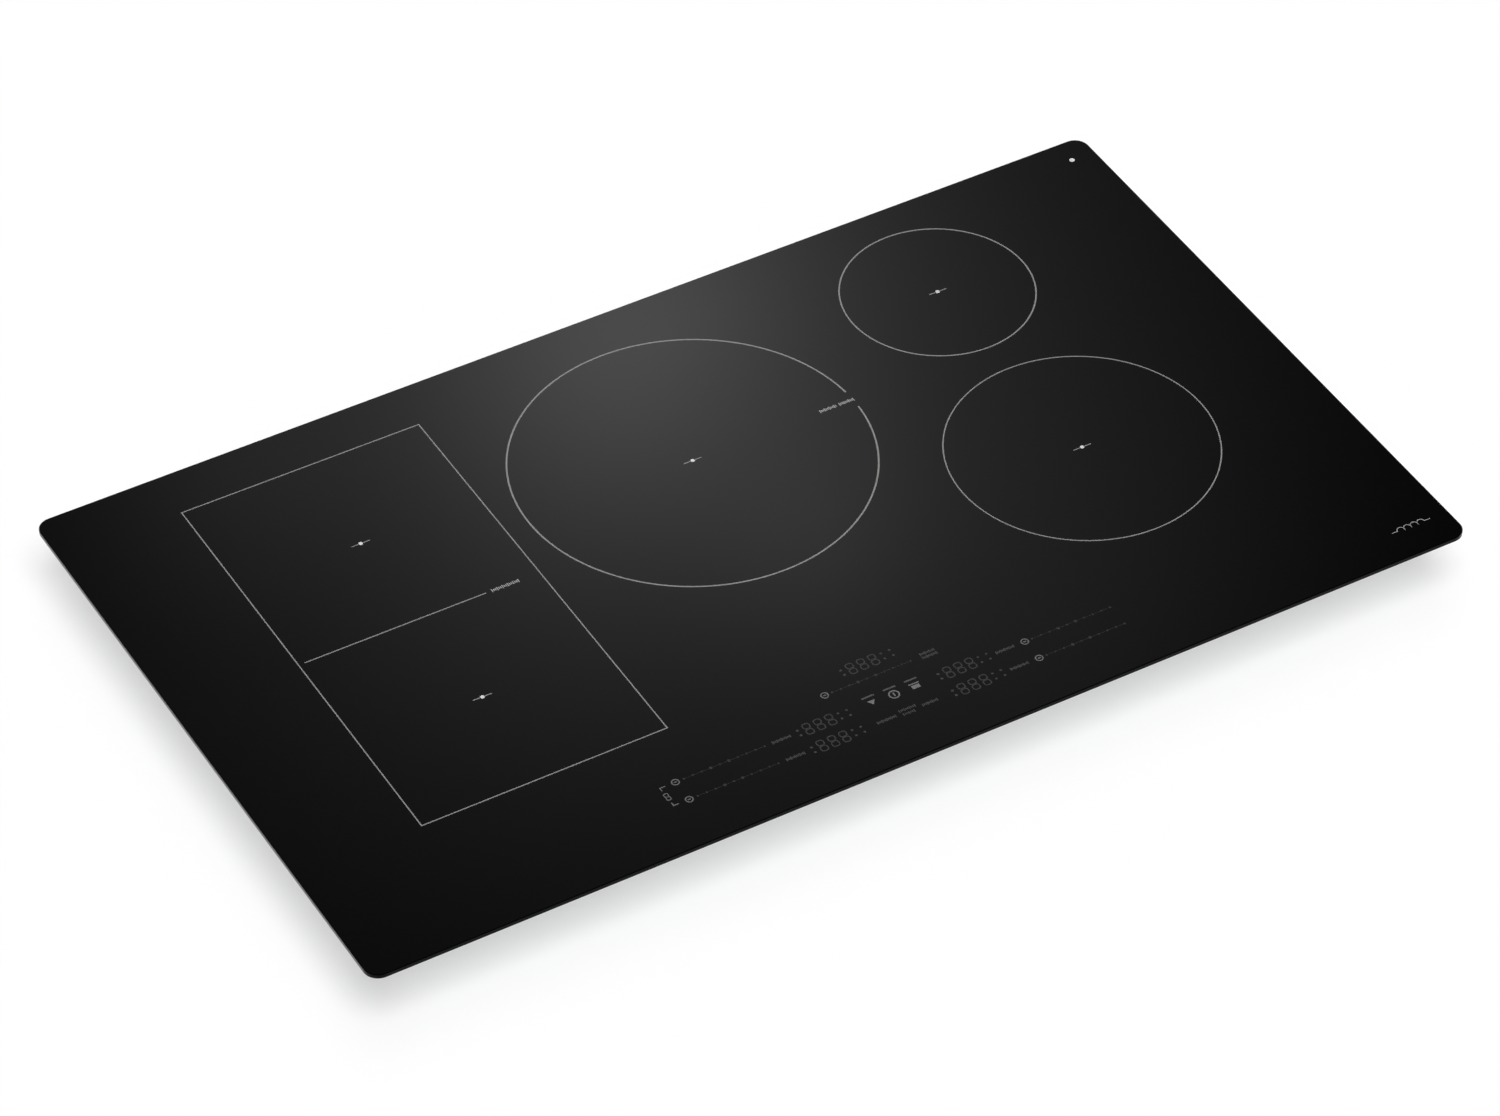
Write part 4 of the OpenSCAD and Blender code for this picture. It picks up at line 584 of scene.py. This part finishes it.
# Digits that the displays light from below, as dark as the glass until then: eights of two rings
# each, and small round windows for the lamps beside them.
digits_left, digits_right, digits_middle, digit_row = -72.1, 46.4, -12.9, -168.4
digit_pitch, digit_rise, digit_w, digit_h, lamp_w = 9.4, 3.0, 5.6, 5.2, 2.0
eights, lamps = [], []
for x0, row in ((digits_left, row_rear), (digits_left, row_front), (digits_right, row_rear),
                (digits_right, row_front), (digits_middle, digit_row)):
    for up in (digit_rise, -digit_rise):
        eights += [loop(x0 + digit_pitch * k, row + up, digit_w, digit_h, 1.0, 3.0, 24)
                   for k in range(3)]
        lamps += [dot(x0 + after, row + up, lamp_w, lamp_w, 12) for after in (26.6, 33.8)]
    lamps += [dot(x0 - 7.8, row + up, 2.2, 2.2, 12) for up in (2.1, -3.3)]
printed("digit_outlines", eights, "2b2b2b", "3c3c3c")
printed("lamp_marks", lamps, "2f2f2f", "414141")

# Slides: rows of small marks that the finger runs along, two of them larger, on a hairline. The
# scale marks stand beside the rows and between them.
slide_left, slide_right, slide_middle = (-175.0, -108.5), (117.7, 185.0), (-37.9, 28.3)
mark_count, small_w, large_w, hairline_w = 10, 1.7, 2.6, 0.25
slides = []
for (x0, x1), row in ((slide_left, row_rear), (slide_left, row_front), (slide_right, row_rear),
                      (slide_right, row_front), (slide_middle, slide_row)):
    for i, x in enumerate(np.linspace(x0, x1, mark_count)):
        spot_w = large_w if i in (3, 5) else small_w
        slides += [dot(x, row, spot_w, spot_w, 12)]
    slides += [bar(x0 + (x1 - x0) / 2, row, x1 - x0, hairline_w)]
printed("slide_marks", slides, "2c2c2c", "3c3c3c")

labels = []
for x, y, w, h, count in (
        (-94.4, row_rear, 14.6, 3.0, 13), (-94.4, row_front, 14.6, 3.0, 13),
        (94.4, row_rear, 14.6, 3.0, 13), (94.4, row_front, 14.6, 3.0, 13),
        (43.7, -180.8, 11.6, 3.0, 10), (43.7, -184.8, 11.6, 3.0, 10),
        (-18.2, -227.3, 15.0, 3.0, 13), (18.2, -227.3, 12.0, 3.0, 10),
        (0.4, -224.6, 13.0, 2.8, 10), (-0.4, -229.0, 9.0, 2.8, 7)):
    labels += ticks(x, y, w, h, count)
printed("scale_marks", labels, "393939", "4b4b4b")

# Studio: a wide pale floor that rises to a low wall far out, both turned about the middle. The
# matt white paint glows a little, so that the floor stays white and still takes a shadow.


def turned(name, profile):
    """Surface of revolution: a profile of radius and height carried once around the Z axis."""
    profile = np.asarray(profile, float)
    sides = 96
    t = np.linspace(0, 2 * pi, sides, endpoint=False)
    rings = np.stack([profile[:, :1] * np.cos(t), profile[:, :1] * np.sin(t),
                      profile[:, 1:] + 0 * t], 2)
    n, m = rings.shape[:2]
    i, j = np.meshgrid(np.arange(n - 1), np.arange(m), indexing="ij")
    k = (j + 1) % m
    cells = np.stack([i * m + j, (i + 1) * m + j, (i + 1) * m + k, i * m + k], -1).reshape(-1, 4)
    mesh = bpy.data.meshes.new(name)
    mesh.from_pydata(rings.reshape(-1, 3).tolist(), [], cells.tolist())
    mesh.polygons.foreach_set("use_smooth", [True] * len(cells))
    shape = bpy.data.objects.new(name, mesh)
    bpy.context.scene.collection.objects.link(shape)
    mesh.materials.append(Field.material)


def seen():
    """1 on camera, glossy and transmitted rays, 0 on the rays that light the object."""
    ray = [Field.node("LightPath", {}, {}, kind)
           for kind in ("Is Camera Ray", "Is Glossy Ray", "Is Transmission Ray")]
    return (ray[0] + ray[1] + ray[2]).maths("MINIMUM", 1.0)


def pale(name, share):
    """White stage paint that glows by a share on the rays that see it, and is clear from behind."""
    finish(name, {"Base Color": (0.95, 0.95, 0.95, 1.0), "Roughness": 0.9, "Specular IOR Level": 0.1})
    glow = Field.node("Emission", {}, {"Color": (1.0, 1.0, 1.0, 1.0), "Strength": 1.0})
    paint = Field(Field.shader.outputs[0])
    front = Field.node("MixShader", {}, {0: seen() * share, 1: paint, 2: glow})
    behind = Field.node("NewGeometry", {}, {}, "Backfacing")
    clear = Field.node("BsdfTransparent", {}, {})
    both = Field.node("MixShader", {}, {0: behind, 1: front, 2: clear})
    Field.tree.links.new(both.socket, Field.tree.nodes["Material Output"].inputs["Surface"])


floor_r, wall_r, wall_h = 6.0, 9.0, 0.6
floor_glow, wall_glow = 0.52, 1.0
pale("floor paint", floor_glow)
turned("studio_floor", [[r, 0.0] for r in (0.001, 0.5, 1.5, floor_r)])
pale("wall paint", wall_glow)
rise = np.linspace(0, pi / 2, 17)
turned("studio_wall", np.stack([floor_r + (wall_r - floor_r) * np.sin(rise),
                                wall_h * (1 - np.cos(rise))], 1))

# Room light: dark high up, paler near the horizon and overhead, with a ring of soft lamps whose
# mirror images lie on the glass as broad glows. The camera sees plain white past the stage.
world = bpy.data.worlds.new("room")
bpy.context.scene.world = world
world.use_nodes = True
Field.tree = world.node_tree
ray = Field.node("TexCoord", {}, {}, "Generated")
height = ray.along(2).maths("ARCSINE")
horizon_fall, overhead_level, room_level = 10.0, 0.45, 0.3
horizon = (height.maths("MAXIMUM", 0.0) * -horizon_fall).maths("EXPONENT")
overhead = height.step(radians(60.0), radians(80.0)) * overhead_level
level = overhead + height.step(radians(37.0), radians(12.0)) * room_level + horizon
# Glows that make up one lamp: azimuth and elevation in degrees, peak, spread and power of each.
lamp_glows = ((28.6, 40.4, 1.26, 0.00053, 1.05), (33.6, 42.6, 0.12, 0.0011, 1.6),
              (30.9, 42.2, 0.2, 0.00018, 1.6), (24.0, 41.3, 0.13, 0.0004, 2.0))
lamp_count, faint = 8, 0.026
for turn in range(lamp_count):
    for azimuth, elevation, peak, spread, power in lamp_glows:
        # peak * (1 + (1 - cos angle) / spread) ^ -power, cut off where it is faint
        az, el = radians(azimuth + 360.0 / lamp_count * turn), radians(elevation)
        lamp_at = (sin(az) * cos(el), cos(az) * cos(el), sin(el))
        facing = Field.node("VectorMath", {"operation": "DOT_PRODUCT"}, {0: ray, 1: lamp_at}, "Value")
        aside = (1 - facing).maths("MAXIMUM", 0.0)
        fall = (1 + aside / spread).maths("POWER", power)
        level = level + (peak / fall - faint).maths("MAXIMUM", 0.0)
camera_ray = Field.node("LightPath", {}, {}, "Is Camera Ray")
level = camera_ray + (1 - camera_ray) * level
backdrop = world.node_tree.nodes["Background"]
backdrop.inputs["Color"].default_value = (1.0, 1.0, 1.0, 1.0)
Field.tree.links.new(level.socket, backdrop.inputs["Strength"])


def sun(name, azimuth, elevation, soft, level):
    """Lamp at an azimuth from +Y towards +X, giving a level of light on the floor."""
    lamp = bpy.data.lights.new(name, "SUN")
    lamp.energy = level / sin(radians(elevation))
    lamp.angle = radians(soft)
    holder = bpy.data.objects.new(name, lamp)
    holder.matrix_world = Matrix.Rotation(radians(-azimuth), 4, "Z") @ Matrix.Rotation(
        radians(elevation - 90), 4, "X")
    holder.visible_glossy = False
    bpy.context.scene.collection.objects.link(holder)


# A broad key from the front, a weak one overhead and a weaker one from the rear right.
sun("key", 196.0, 63.0, 37.0, 2.4)
sun("top", 0.0, 89.0, 60.0, 0.3)
sun("rear", 32.0, 57.0, 36.0, 0.2)

# Camera: a long lens that looks down from high at the front left. Its heading, its slope downward
# and its roll are in degrees.
stand = (-1.7948, -3.0973, 3.2990)
heading, downward, roll = -30.082, 42.422, 0.054
camera = bpy.data.cameras.new("camera")
camera.lens, camera.sensor_width = 155.64, 36.0
camera.clip_end = 60.0
viewer = bpy.data.objects.new("camera", camera)
viewer.matrix_world = (Matrix.Translation(stand)
                       @ Matrix.Rotation(radians(heading), 4, "Z")
                       @ Matrix.Rotation(radians(90 - downward), 4, "X")
                       @ Matrix.Rotation(radians(roll), 4, "Z"))
bpy.context.scene.collection.objects.link(viewer)
bpy.context.scene.camera = viewer
bpy.context.scene.view_settings.view_transform = "Standard"
